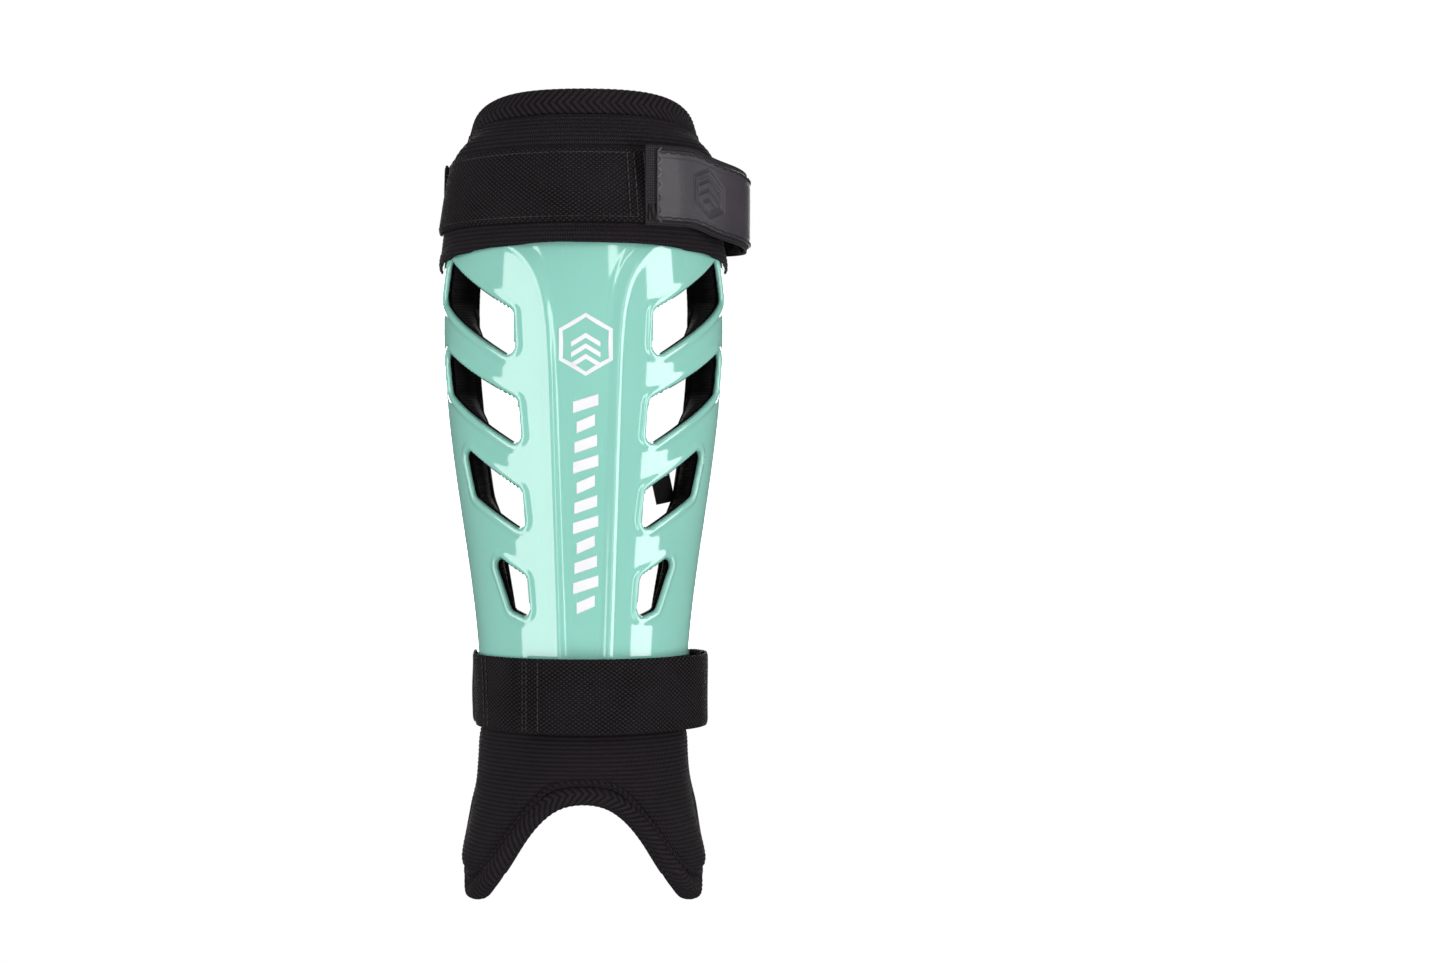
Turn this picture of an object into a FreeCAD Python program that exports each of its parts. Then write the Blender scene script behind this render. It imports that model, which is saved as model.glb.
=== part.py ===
"""Field hockey shin guard for one leg: a slotted moulded shell over a padded liner, closed by two straps.

Units are millimetres. X runs across the guard, Y from the shin (negative) to the calf (positive), and Z up the leg.
The origin is on the leg's axis, level with the lowest point of the ankle pads. Every layer of the guard follows one
form, the outer face of the shell, and is placed by its offset from it: plus is outwards, minus is towards the leg.
"""
import FreeCAD, Part
import math
import os

V = FreeCAD.Vector

# Overall form: half width of the shell's outer face against height
TOTAL_HEIGHT = 330.0
CALF_HALF_WIDTH = 59.4      # at the widest level
CALF_LEVEL = TOTAL_HEIGHT - 90.0
ANKLE_HALF_WIDTH = 43.5     # the narrowest level
ANKLE_LEVEL = 75.0
FLARE = 7.8                 # how far the ankle pads stand out past the narrowest level
PAD_LEVEL = 15.0            # the pads' widest level
TOP_TAPER = 0.0016          # pull-in above the calf level, per mm squared
DEPTH_RATIO = 0.96          # front depth over half width

# Layers, outermost first, with the clearance between sewn or stacked layers
SHELL_WALL = 2.5
FIXING_PAD = 0.9            # one half of a hook-and-loop pair
FOAM_WALL = 8.0
ANKLE_FOAM_WALL = FOAM_WALL + 2.0
LINING_WALL = 0.9
BINDING_WALL = 1.1
COVER_WALL = 2.2
SLEEVE_WALL = 1.5
GAP = 0.12                  # between faces that are glued, sewn or pressed together
STRAP_GAP = 0.3             # between a strap and what it lies on, and between a strap and its hook tape
CHORD_GAP = 0.6             # the same where one face is straight up the strap and the other follows the form

# Levels along the leg: the head's are counted down from the top
SHELL_BOTTOM = 85.0
SHELL_TOP = TOTAL_HEIGHT - 28.0
SLEEVE_TOP = TOTAL_HEIGHT - 10.0
HEM_SIDE = TOTAL_HEIGHT - 66.0  # lower edge of the sleeve's hem at the sides
HEM_RISE = 6.5              # and how much higher it is at the shin
HEM_HEIGHT = 5.5
HEM_EXTRA = 0.5             # how much thicker the hem is than the sleeve
SLEEVE_START = HEM_SIDE - 6.0   # where the sleeve's wall starts, before the slanting hem is cut
UNDER_PADS = -5.0           # where the ankle walls start, before the outline is cut
TOP_ROUND = 110.0           # radius of the top edge, seen from the side
BINDING_WIDTH = 10.0
ARCH_BINDING_WIDTH = 6.5

# How far each layer runs behind the widest line of the leg
SHELL_BACK = 5.0
LINER_BACK = 10.0

# Raised ribs beside the shell's middle channel
RIB_HEIGHT = 1.3
RIB_HALF_WIDTH = 2.6
RIB_FADE = 10.0             # length over which a rib rises to its full height at each end
RIB_LOW = 8.2               # distance of a rib from the middle at the shell's foot
RIB_HIGH = 16.5             # and at its head

# Hook-and-loop pads down the middle, each starting at a share of the shell's height
FIXING_STARTS = (0.07, 0.415, 0.783)
FIXING_HEIGHT = 30.0
FIXING_TURN = 12.0

# Vents: the direction each is cut in, then its corners as (distance round the wall from the cut's middle, height as
# a share of the shell's height)
VENTS = [
    {"turn": 50.0, "front": (-22.0, 0.7074, 0.6313), "back_top": (22.0, 0.8134), "back_low": (21.5, 0.7465)},
    {"turn": 48.5, "front": (-21.4, 0.5507, 0.4724), "back_top": (21.6, 0.6544), "back_low": (19.5, 0.5691)},
    {"turn": 44.5, "front": (-15.7, 0.3940, 0.3134), "back_top": (15.9, 0.4631), "back_low": (12.6, 0.3756)},
    {"turn": 37.0, "front": (-7.0, 0.2373, 0.1544), "back_top": (9.0, 0.2673), "back_low": (3.8, 0.1659)},
]
VENT_CORNER = 3.2
VENT_CUT = (20.0, 90.0)     # the cut's start and end, from the leg's axis
LINER_VENT_INSET = 0.8
LINER_VENT_DROP = 6.0       # the liner's vents reach lower than the shell's

# Ankle end, as seen from the front: (distance from the middle, height)
PAD_OUTLINE = [(0.0, 43.0), (13.5, 40.2), (21.0, 33.0), (26.6, 23.5), (32.0, 12.5), (36.6, 3.6), (42.5, 0.0),
               (48.5, 2.6), (52.5, 9.5), (62.0, 13.0)]
COVER_OUTLINE = [(0.0, 50.5), (13.0, 48.6), (24.5, 42.0), (32.5, 32.5), (39.0, 22.6), (45.5, 17.8), (52.0, 16.5),
                 (58.0, 16.5)]
PAD_REAR_ROUND = 24.0       # radius of the pads' lower rear corner
PIPING_RADIUS = 1.0
PIPING_REACH = 0.985        # how far round the pads the piping runs, as a share of their half width
DISC_RADIUS = 13.0
DISC_WALL = 3.0
DISC_AT = (-14.0, 30.0)     # centre of the ankle bone disc in Y and Z
LABEL_WIDTH = 8.0
LABEL_HEIGHT = 20.0
LABEL_WALL = 0.5
LABEL_SLANT = 12.0
LABEL_LEVEL = 165.0
LABEL_AT = -6.0             # where it stands in Y
LABEL_SEAM_GAP = 0.4

# Straps
STRAP_WIDTH = 30.0
STRAP_WALL = 1.8
HOOK_WALL = 0.9
TAB_WALL = 1.0
TAPE_WALL = 0.6
TAB_EXTRA = 1.0             # the tab is wider than the strap by this much at each edge
TOP_STRAP_LOW = TOTAL_HEIGHT - 51.5
LOWER_STRAP_LOW = 73.0
THREAD_RADIUS = 0.3
STITCH_LENGTH = 2.2
STITCH_PITCH = 4.2
CLOSE_PITCH = 3.1           # of the seams on the tab and the lower strap's end

# Where things on the straps start and end, as turns round the form
TOP_FRONT_END = 78.0
TOP_SEAM_TURNS = (-80.0, 18.0)
TOP_HOOK_TURNS = (25.0, 44.0)
TAB_SEAM_TURNS = (29.5, 45.0)
TAB_TIP_SEAM = 28.9
LOWER_FRONT_END = 75.0
LOWER_SEAM_TURNS = (-60.0, -64.0)
LOWER_HOOK_TURNS = (-31.5, -8.0)
END_TAPE_TURNS = (-32.5, -22.0)
END_SEAM_TURNS = (-31.0, -23.5)
SEAM_INSET = 2.0            # distance of a seam from the strap's edge
TAB_FACE_INSET = 2.0        # how much narrower the tab's face is than its backing, at each edge

# Offsets of each layer's outer and inner face
SHELL = (0.0, -SHELL_WALL)
HOOK_PAD = (SHELL[1] - GAP, SHELL[1] - GAP - FIXING_PAD)
LOOP_PAD = (HOOK_PAD[1] - GAP, HOOK_PAD[1] - GAP - FIXING_PAD)
FOAM = (LOOP_PAD[1] - GAP, LOOP_PAD[1] - GAP - FOAM_WALL)
LINING = (FOAM[1] - GAP, FOAM[1] - GAP - LINING_WALL)
BINDING = (FOAM[0] + GAP + BINDING_WALL, LINING[1] - GAP - BINDING_WALL)
COVER = (0.0, -COVER_WALL)
ANKLE_FOAM = (COVER[1] - GAP, COVER[1] - GAP - ANKLE_FOAM_WALL)
ANKLE_LINING = (ANKLE_FOAM[1] - GAP, ANKLE_FOAM[1] - GAP - LINING_WALL)
ANKLE_BINDING = (ANKLE_FOAM[0] + GAP + BINDING_WALL, ANKLE_LINING[1] - GAP - BINDING_WALL)
SLEEVE = (STRAP_GAP + SLEEVE_WALL, STRAP_GAP)
EDGE_PAD = (0.0, BINDING[0] + GAP)
TOP_FRONT = (SLEEVE[0] + STRAP_GAP + STRAP_WALL, SLEEVE[0] + STRAP_GAP)
TOP_HOOK = (TOP_FRONT[0] + STRAP_GAP + HOOK_WALL, TOP_FRONT[0] + STRAP_GAP)
TOP_TAB_LINE = TOP_HOOK[0] + CHORD_GAP
LOWER_FRONT = (STRAP_GAP + STRAP_WALL, STRAP_GAP)
LOWER_HOOK = (LOWER_FRONT[0] + STRAP_GAP + HOOK_WALL, LOWER_FRONT[0] + STRAP_GAP)
LOWER_END_LINE = LOWER_HOOK[0] + STRAP_GAP
END_TAPE = LOWER_END_LINE + STRAP_WALL + CHORD_GAP


def half_width(z):
    """Half width of the form at height z: a cosine swell from ankle to calf, a square-law pull-in above it and a
    flare below the ankle."""
    if z < ANKLE_LEVEL:
        share = min(1.0, (ANKLE_LEVEL - z) / (ANKLE_LEVEL - PAD_LEVEL))
        return ANKLE_HALF_WIDTH + FLARE * share ** 1.8
    if z < CALF_LEVEL:
        share = (1 - math.cos(math.pi * (z - ANKLE_LEVEL) / (CALF_LEVEL - ANKLE_LEVEL))) / 2
        return ANKLE_HALF_WIDTH + (CALF_HALF_WIDTH - ANKLE_HALF_WIDTH) * share
    return CALF_HALF_WIDTH - TOP_TAPER * (z - CALF_LEVEL) ** 2


def form_point(turn, z, offset):
    """Point of the form at height z. turn is the angle from the shin in degrees; past 90 each degree is a
    millimetre straight back."""
    side = max(-90.0, min(90.0, turn))
    back = abs(turn) - 90.0 if abs(turn) > 90.0 else 0.0
    angle = math.radians(side)
    width = half_width(z) + offset
    depth = half_width(z) * DEPTH_RATIO + offset
    return V(width * math.sin(angle), -depth * math.cos(angle) + back, z)


def shell_level(share):
    """Height at a share of the way up the shell."""
    return SHELL_BOTTOM + share * (SHELL_TOP - SHELL_BOTTOM)


def rib_rise(turn, z):
    """Height of the two ribs beside the middle channel, which spread towards the shell's head and fade out under
    the strap and the sleeve."""
    share = max(0.0, min(1.0, (z - SHELL_BOTTOM) / (SHELL_TOP - SHELL_BOTTOM)))
    middle = RIB_LOW + (RIB_HIGH - RIB_LOW) * share ** 3
    across = abs(half_width(z) * math.sin(math.radians(max(-90.0, min(90.0, turn)))))
    fade = min(1.0, max(0.0, min(z - LOWER_STRAP_LOW - STRAP_WIDTH - GAP, HEM_SIDE - z) / RIB_FADE))
    return fade * RIB_HEIGHT * math.exp(-(((across - middle) / RIB_HALF_WIDTH) ** 2))


def spread(low, high, count):
    """count values evenly spaced from low to high."""
    return [low + (high - low) * i / (count - 1) for i in range(count)]


def curve(points):
    """One smooth edge through the points."""
    spline = Part.BSplineCurve()
    spline.interpolate(points)
    return spline.toShape()


def wall(outer, inner, low, high, left, right, levels=10, stations=33, rise=None):
    """A curved wall of the form between two offsets, two heights and two turns, lofted through level sections."""
    sections = []
    for z in spread(low, high, levels):
        turns = spread(left, right, stations)
        lift = [rise(t, z) if rise else 0.0 for t in turns]
        front = [form_point(t, z, outer + h) for t, h in zip(turns, lift)]
        rear = [form_point(t, z, inner) for t in turns]
        edges = [curve(front), Part.LineSegment(front[-1], rear[-1]).toShape(),
                 curve(rear[::-1]), Part.LineSegment(rear[0], front[0]).toShape()]
        sections.append(Part.Wire(edges))
    return Part.makeLoft(sections, True, False)


def liner_wall(layer, low, high, **kwargs):
    """A wall that runs as far back as the liner does."""
    return wall(layer[0], layer[1], low, high, -90 - LINER_BACK, 90 + LINER_BACK, **kwargs)


def plate(wire, direction):
    """The solid that a closed flat wire sweeps along direction."""
    return Part.Face(wire).extrude(direction)


def side_block(points, reach=100.0):
    """A block whose outline, in Y and Z, is seen from the side."""
    corners = [V(-reach, y, z) for y, z in points]
    return plate(Part.makePolygon(corners + corners[:1]), V(2 * reach, 0, 0))


def below_top(drop):
    """The space below the guard's rounded top edge, lowered by drop."""
    reach = 130.0
    front = -half_width(TOTAL_HEIGHT) * DEPTH_RATIO
    height = TOTAL_HEIGHT - drop
    ends = [(front - 30.0), (front + 25.0), (front + 80.0)]
    arc = [V(-reach, y, height - TOP_ROUND + math.sqrt(TOP_ROUND ** 2 - (y - front) ** 2)) for y in ends]
    low = [V(-reach, ends[2], -50.0), V(-reach, ends[0], -50.0)]
    wire = Part.Wire([Part.Arc(*arc).toShape(), Part.LineSegment(arc[2], low[0]).toShape(),
                      Part.LineSegment(low[0], low[1]).toShape(), Part.LineSegment(low[1], arc[0]).toShape()])
    return plate(wire, V(2 * reach, 0, 0))


def outline_curve(outline, lift):
    """The ankle outline as one edge, mirrored about the middle and moved in from the edge by lift."""
    half = [V(x, 0, z) for x, z in outline]
    whole = [V(-p.x, 0, p.z) for p in half[:0:-1]] + half
    spline = Part.BSplineCurve()
    spline.interpolate(whole)
    moved = []
    for u in spread(spline.FirstParameter, spline.LastParameter, 41):
        along = spline.tangent(u)[0]
        moved.append(spline.value(u) + V(-along.z, 0, along.x) * lift)
    return curve(moved), moved


def above_outline(outline, lift):
    """The space above an ankle outline, right through the guard from front to back."""
    reach, head, front = 90.0, 200.0, -120.0
    edge, points = outline_curve(outline, lift)
    left, right = points[0], points[-1]
    ends = [V(right.x, 0, right.z), V(reach, 0, right.z), V(reach, 0, head), V(-reach, 0, head),
            V(-reach, 0, left.z), V(left.x, 0, left.z)]
    sides = [Part.LineSegment(a, b).toShape() for a, b in zip(ends, ends[1:])]
    solid = plate(Part.Wire([edge] + sides), V(0, -2 * front, 0))
    solid.translate(V(0, front, 0))
    return solid


def behind_pads(inset):
    """The space in front of the ankle pads' rear edge, with its rounded lower corner."""
    reach, front, head = 100.0, -100.0, 120.0
    rear = LINER_BACK - inset
    r = PAD_REAR_ROUND
    low = inset - 2.0
    corner = [V(-reach, rear, r), V(-reach, rear - r * (1 - math.sqrt(0.5)), low + (r - low) * (1 - math.sqrt(0.5))),
              V(-reach, rear - r, low)]
    wire = Part.Wire([
        Part.Arc(*corner).toShape(),
        Part.LineSegment(corner[2], V(-reach, front, low)).toShape(),
        Part.LineSegment(V(-reach, front, low), V(-reach, front, head)).toShape(),
        Part.LineSegment(V(-reach, front, head), V(-reach, rear, head)).toShape(),
        Part.LineSegment(V(-reach, rear, head), corner[0]).toShape()])
    return plate(wire, V(2 * reach, 0, 0))


def vent_block(vent, inset, drop):
    """The slanting hole of one vent on the right side, cut square to the wall at the vent's middle."""
    front, top, low = vent["front"]
    back_top, back_low = vent["back_top"], vent["back_low"]
    outline = [(front + inset, shell_level(top) - inset), (back_top[0] - inset, shell_level(back_top[1]) - inset),
               (back_low[0] - inset, shell_level(back_low[1]) + inset - drop),
               (front + inset, shell_level(low) + inset - drop)]
    turn = math.radians(vent["turn"])
    around = V(math.cos(turn), math.sin(turn), 0)
    out = V(math.sin(turn), -math.cos(turn), 0)
    points = [around * h + V(0, 0, z) + out * VENT_CUT[0] for h, z in outline]
    block = plate(Part.makePolygon(points + points[:1]), out * (VENT_CUT[1] - VENT_CUT[0]))
    upright = [e for e in block.Edges if abs(e.tangentAt(e.FirstParameter).dot(out)) > 0.999]
    return block.makeFillet(VENT_CORNER, upright)


def vents(inset=0.0, drop=0.0):
    """All vents, both sides, as one cutter."""
    right = [vent_block(v, inset, drop) for v in VENTS]
    left = [b.mirror(V(0, 0, 0), V(1, 0, 0)) for b in right]
    return Part.makeCompound(right + left)


def strap(lows, highs, outer, inner, stations=19):
    """A free length of strap, lofted along its run. lows and highs are the points of its middle line at its lower
    and upper edge; outer and inner are offsets from that line to the strap's faces, plus to the right of its run."""
    splines = []
    for points in (lows, highs):
        spline = Part.BSplineCurve()
        spline.interpolate(points)
        splines.append(spline)
    sections = []
    for share in spread(0.0, 1.0, stations):
        pair = []
        along = V(0, 0, 0)
        for spline in splines:
            u = spline.FirstParameter + share * (spline.LastParameter - spline.FirstParameter)
            pair.append(spline.value(u))
            along += spline.tangent(u)[0]
        across = V(along.y, -along.x, 0)
        across.normalize()
        low, high = pair
        ring = [low + across * outer, low + across * inner, high + across * inner, high + across * outer]
        sections.append(Part.makePolygon(ring + ring[:1]))
    return Part.makeLoft(sections, True, False)


def stitch(at, along):
    """One stitch of thread, centred on a point."""
    direction = V(along)
    direction.normalize()
    return Part.makeCylinder(THREAD_RADIUS, STITCH_LENGTH, at - direction * (STITCH_LENGTH / 2), direction)


def stitch_row(start, end, offset, z, pitch=STITCH_PITCH):
    """Stitches along the form between two turns at one height, lying on a face at offset."""
    length = math.radians(end - start) * half_width(z)
    count = max(2, int(abs(length) / pitch))
    row = []
    for turn in spread(start, end, count):
        here = form_point(turn, z, offset)
        row.append(stitch(here, form_point(turn + 0.5, z, offset) - here))
    return row


def stitch_column(turn, offset, low, high, pitch=STITCH_PITCH):
    """Stitches up the form at one turn, lying on a face at offset."""
    count = max(2, int((high - low) / pitch))
    column = []
    for z in spread(low, high, count):
        here = form_point(turn, z, offset)
        column.append(stitch(here, form_point(turn, z + 0.5, offset) - here))
    return column


def make_shell():
    body = wall(SHELL[0], SHELL[1], SHELL_BOTTOM, SHELL_TOP, -90 - SHELL_BACK, 90 + SHELL_BACK,
                levels=16, stations=61, rise=rib_rise)
    return body.cut(vents())


def make_fixing_pads(layer):
    """Hook or loop pads down the middle, between shell and liner."""
    lows = [shell_level(share) for share in FIXING_STARTS]
    return Part.makeCompound([wall(layer[0], layer[1], z, z + FIXING_HEIGHT, -FIXING_TURN, FIXING_TURN, levels=4,
                                   stations=9) for z in lows])


def make_liner(layer):
    """The shin part of one liner layer, cut to the top edge and vented."""
    edge = BINDING_WALL + GAP
    body = wall(layer[0], layer[1], SHELL_BOTTOM + GAP, TOTAL_HEIGHT, -90 - LINER_BACK + edge,
                90 + LINER_BACK - edge, levels=14)
    return body.common(below_top(edge)).cut(vents(LINER_VENT_INSET, LINER_VENT_DROP))


def make_ankle(layer):
    """The ankle part of one liner layer, cut to the arch and the two pads."""
    edge = BINDING_WALL + GAP
    body = liner_wall(layer, UNDER_PADS, SHELL_BOTTOM - GAP)
    return body.common(above_outline(PAD_OUTLINE, edge)).common(behind_pads(edge))


def disc_bore(side, radius, outer, inner):
    """A round piece of the wall over the ankle bone, on one side."""
    block = Part.makeCylinder(radius, 80.0, V(0, DISC_AT[0], DISC_AT[1]), V(side, 0, 0))
    return liner_wall((outer, inner), DISC_AT[1] - radius - 3, DISC_AT[1] + radius + 3, levels=6).common(block)


def make_arch_binding(foam, lining):
    """Tape folded over the ankle end's edge: along the arch, round both pads and up to the strap."""
    body = liner_wall(ANKLE_BINDING, UNDER_PADS, SHELL_BOTTOM - GAP)
    body = body.common(above_outline(PAD_OUTLINE, 0.0)).common(behind_pads(0.0))
    clear = above_outline(PAD_OUTLINE, ARCH_BINDING_WIDTH).common(behind_pads(BINDING_WIDTH))
    return body.cut(clear).cut(foam).cut(lining)


def make_top_binding(foam, lining):
    """Tape folded over the liner's top edge."""
    body = liner_wall(BINDING, SLEEVE_TOP - 40.0, TOTAL_HEIGHT, levels=8).common(below_top(0.0))
    return body.cut(below_top(BINDING_WIDTH)).cut(foam).cut(lining)


def make_side_binding(side, foam, lining):
    """Tape folded over one rear edge of the liner, between the ankle and the top binding."""
    body = liner_wall(BINDING, SHELL_BOTTOM + GAP, TOTAL_HEIGHT, levels=14).common(below_top(BINDING_WIDTH + GAP))
    strip = Part.makeBox(90.0, BINDING_WIDTH, 2 * TOTAL_HEIGHT)
    strip.translate(V(0 if side > 0 else -90.0, LINER_BACK - BINDING_WIDTH, 0))
    return body.common(strip).cut(foam).cut(lining)


def hem_block(low):
    """The space above a plane that rises towards the shin, for the sleeve's hem."""
    front = -CALF_HALF_WIDTH * DEPTH_RATIO
    slope = HEM_RISE / front
    return side_block([(-90.0, low + slope * -90.0), (40.0, low + slope * 40.0), (40.0, 400.0), (-90.0, 400.0)])


def make_sleeve():
    """Knitted sleeve pulled over the shell's head."""
    body = liner_wall(SLEEVE, SLEEVE_START, SLEEVE_TOP, levels=8)
    return body.common(hem_block(HEM_SIDE + HEM_HEIGHT + GAP)).common(below_top(BINDING_WIDTH - 1.0))


def make_hem():
    """The sleeve's folded lower edge, twice as thick as the knit."""
    body = liner_wall((SLEEVE[0] + HEM_EXTRA, SLEEVE[1]), SLEEVE_START, SLEEVE_START + 26.0, levels=4)
    return body.common(hem_block(HEM_SIDE)).cut(hem_block(HEM_SIDE + HEM_HEIGHT))


def make_piping():
    """Cord sewn on the cover beside its lower edge, as a tube on the form."""
    points = outline_curve(COVER_OUTLINE, PIPING_RADIUS + GAP)[1]
    route = []
    for p in points:
        width = half_width(p.z)
        if abs(p.x) < PIPING_REACH * width:
            route.append(form_point(math.degrees(math.asin(p.x / width)), p.z, COVER[0] + GAP + PIPING_RADIUS))
    path = Part.Wire([curve(route)])
    ring = Part.Wire([Part.Circle(route[0], route[1] - route[0], PIPING_RADIUS).toShape()])
    return path.makePipeShell([ring], True, True)


def make_label():
    """Care label with one edge sewn to the right side of the lining, standing inwards at a slant."""
    label = Part.makeBox(LABEL_WIDTH, LABEL_WALL, LABEL_HEIGHT)
    label.rotate(V(0, 0, 0), V(0, 1, 0), -LABEL_SLANT)
    edge = half_width(LABEL_LEVEL) + LINING[1] - LABEL_SEAM_GAP
    label.translate(V(edge - LABEL_WIDTH, LABEL_AT, LABEL_LEVEL))
    return label


def on_form(turns, z, offset):
    """Points of the form at one height."""
    return [form_point(t, z, offset) for t in turns]


def free_points(places, z, drops, strap_low):
    """Points off the form at height z, as multiples of the form's half width at the middle of the strap that
    starts at strap_low. Each is lowered by its own drop."""
    width = half_width(strap_low + STRAP_WIDTH / 2)
    return [V(x * width, y * width, z - d) for (x, y), d in zip(places, drops)]


# Routes of the straps: turns round the form, then points off it as multiples of the half width, with their drops
TOP_TAB_TURNS = [24.0, 31.0, 38.0, 45.0]
TAB_FACE_TURNS = [28.0, 34.0, 40.0, 45.0]
TOP_TAB_FREE = [(0.985, -0.5655), (1.1364, -0.3557), (1.2258, -0.1186), (1.2386, 0.093)]
TOP_TAB_DROPS = [3.2, 4.8, 6.0, 6.6]
TOP_BAND_FREE = [(1.2313, 0.1623), (1.131, 0.456), (0.8573, 0.7753), (0.4196, 0.9759), (-0.1094, 1.0124),
                 (-0.602, 0.8665), (-0.9303, 0.5746), (-1.0507, 0.2536)]
TOP_BAND_DROPS = [6.6, 5.8, 4.6, 3.2, 1.8, 0.8, 0.2, 0.0]
LOWER_END_TURNS = [-33.0, -20.0, -5.0, 12.0, 30.0, 46.0]
LOWER_END_FREE = [(0.9876, -0.5144), (1.1111, -0.2629), (1.1568, 0.0251)]
LOWER_BAND_FREE = [(1.1545, 0.112), (1.0791, 0.4115), (0.823, 0.743), (0.3658, 0.9373), (-0.1829, 0.9487),
                   (-0.663, 0.7773), (-0.9716, 0.5144), (-1.0562, 0.3178)]


def top_tab_layer(outer, inner, low, high, turns):
    """One layer of the top tab between two offsets from its middle line."""
    lows = on_form(turns, low, TOP_TAB_LINE) + free_points(TOP_TAB_FREE, low, TOP_TAB_DROPS, TOP_STRAP_LOW)
    highs = on_form(turns, high, TOP_TAB_LINE) + free_points(TOP_TAB_FREE, high, TOP_TAB_DROPS, TOP_STRAP_LOW)
    return strap(lows, highs, outer, inner)


def make_top_strap():
    """The pieces of the upper strap, by name."""
    low, high = TOP_STRAP_LOW, TOP_STRAP_LOW + STRAP_WIDTH
    parts = {}
    parts["top_strap_front"] = wall(TOP_FRONT[0], TOP_FRONT[1], low, high, -90 - LINER_BACK, TOP_FRONT_END,
                                    levels=6)
    seam = TOP_FRONT[0] + THREAD_RADIUS
    parts["top_strap_stitching"] = Part.makeCompound(
        stitch_row(*TOP_SEAM_TURNS, seam, low + SEAM_INSET) + stitch_row(*TOP_SEAM_TURNS, seam, high - SEAM_INSET))
    band = [free_points(TOP_BAND_FREE, z, TOP_BAND_DROPS, low) for z in (low, high)]
    parts["top_strap_rear"] = strap(band[0], band[1], STRAP_WALL / 2, -STRAP_WALL / 2)
    wide = (low - TAB_EXTRA, high + TAB_EXTRA)
    parts["top_tab_backing"] = top_tab_layer(TAB_WALL, 0.0, wide[0], wide[1], TOP_TAB_TURNS)
    parts["top_tab_hook"] = wall(TOP_HOOK[0], TOP_HOOK[1], low + 1.0, high - 1.0, *TOP_HOOK_TURNS, levels=4,
                                 stations=9)
    face = (wide[0] + TAB_FACE_INSET, wide[1] - TAB_FACE_INSET)
    parts["top_tab_face"] = top_tab_layer(2 * TAB_WALL + GAP, TAB_WALL + GAP, face[0], face[1], TAB_FACE_TURNS)
    lift = TOP_TAB_LINE + 2 * TAB_WALL + 2 * GAP + THREAD_RADIUS
    parts["top_tab_stitching"] = Part.makeCompound(
        stitch_row(*TAB_SEAM_TURNS, lift, face[0] + SEAM_INSET, CLOSE_PITCH)
        + stitch_row(*TAB_SEAM_TURNS, lift, face[1] - SEAM_INSET, CLOSE_PITCH)
        + stitch_column(TAB_TIP_SEAM, lift, face[0] + 2 * SEAM_INSET, face[1] - 2 * SEAM_INSET, CLOSE_PITCH))
    return parts


def make_lower_end(low, high):
    """The lower strap's free end, from its tip on the shin round to its fold line."""
    level = [0.0] * len(LOWER_END_FREE)
    lows = on_form(LOWER_END_TURNS, low, LOWER_END_LINE) + free_points(LOWER_END_FREE, low, level, low)
    highs = on_form(LOWER_END_TURNS, high, LOWER_END_LINE) + free_points(LOWER_END_FREE, high, level, low)
    return strap(lows, highs, STRAP_WALL, 0.0)


def make_lower_strap():
    """The pieces of the lower strap, by name."""
    low, high = LOWER_STRAP_LOW, LOWER_STRAP_LOW + STRAP_WIDTH
    parts = {}
    parts["lower_strap_front"] = wall(LOWER_FRONT[0], LOWER_FRONT[1], low, high, -90 - LINER_BACK, LOWER_FRONT_END,
                                      levels=5)
    seams = [stitch_column(t, LOWER_FRONT[0] + THREAD_RADIUS, low + SEAM_INSET, high - SEAM_INSET)
             for t in LOWER_SEAM_TURNS]
    parts["lower_strap_stitching"] = Part.makeCompound(seams[0] + seams[1])
    level = [0.0] * len(LOWER_BAND_FREE)
    band = [free_points(LOWER_BAND_FREE, z, level, low) for z in (low, high)]
    parts["lower_strap_rear"] = strap(band[0], band[1], STRAP_WALL / 2, -STRAP_WALL / 2)
    parts["lower_strap_end"] = make_lower_end(low, high)
    parts["lower_strap_hook"] = wall(LOWER_HOOK[0], LOWER_HOOK[1], low + 1.5, high - 1.5, *LOWER_HOOK_TURNS,
                                     levels=4, stations=9)
    parts["lower_end_tape"] = wall(END_TAPE + TAPE_WALL, END_TAPE, low + 0.5, high - 0.5, *END_TAPE_TURNS, levels=4,
                                   stations=9)
    lift = END_TAPE + TAPE_WALL + GAP + THREAD_RADIUS
    seams = [stitch_column(t, lift, low + SEAM_INSET, high - SEAM_INSET, CLOSE_PITCH) for t in END_SEAM_TURNS]
    parts["lower_end_stitching"] = Part.makeCompound(seams[0] + seams[1])
    return parts


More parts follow.
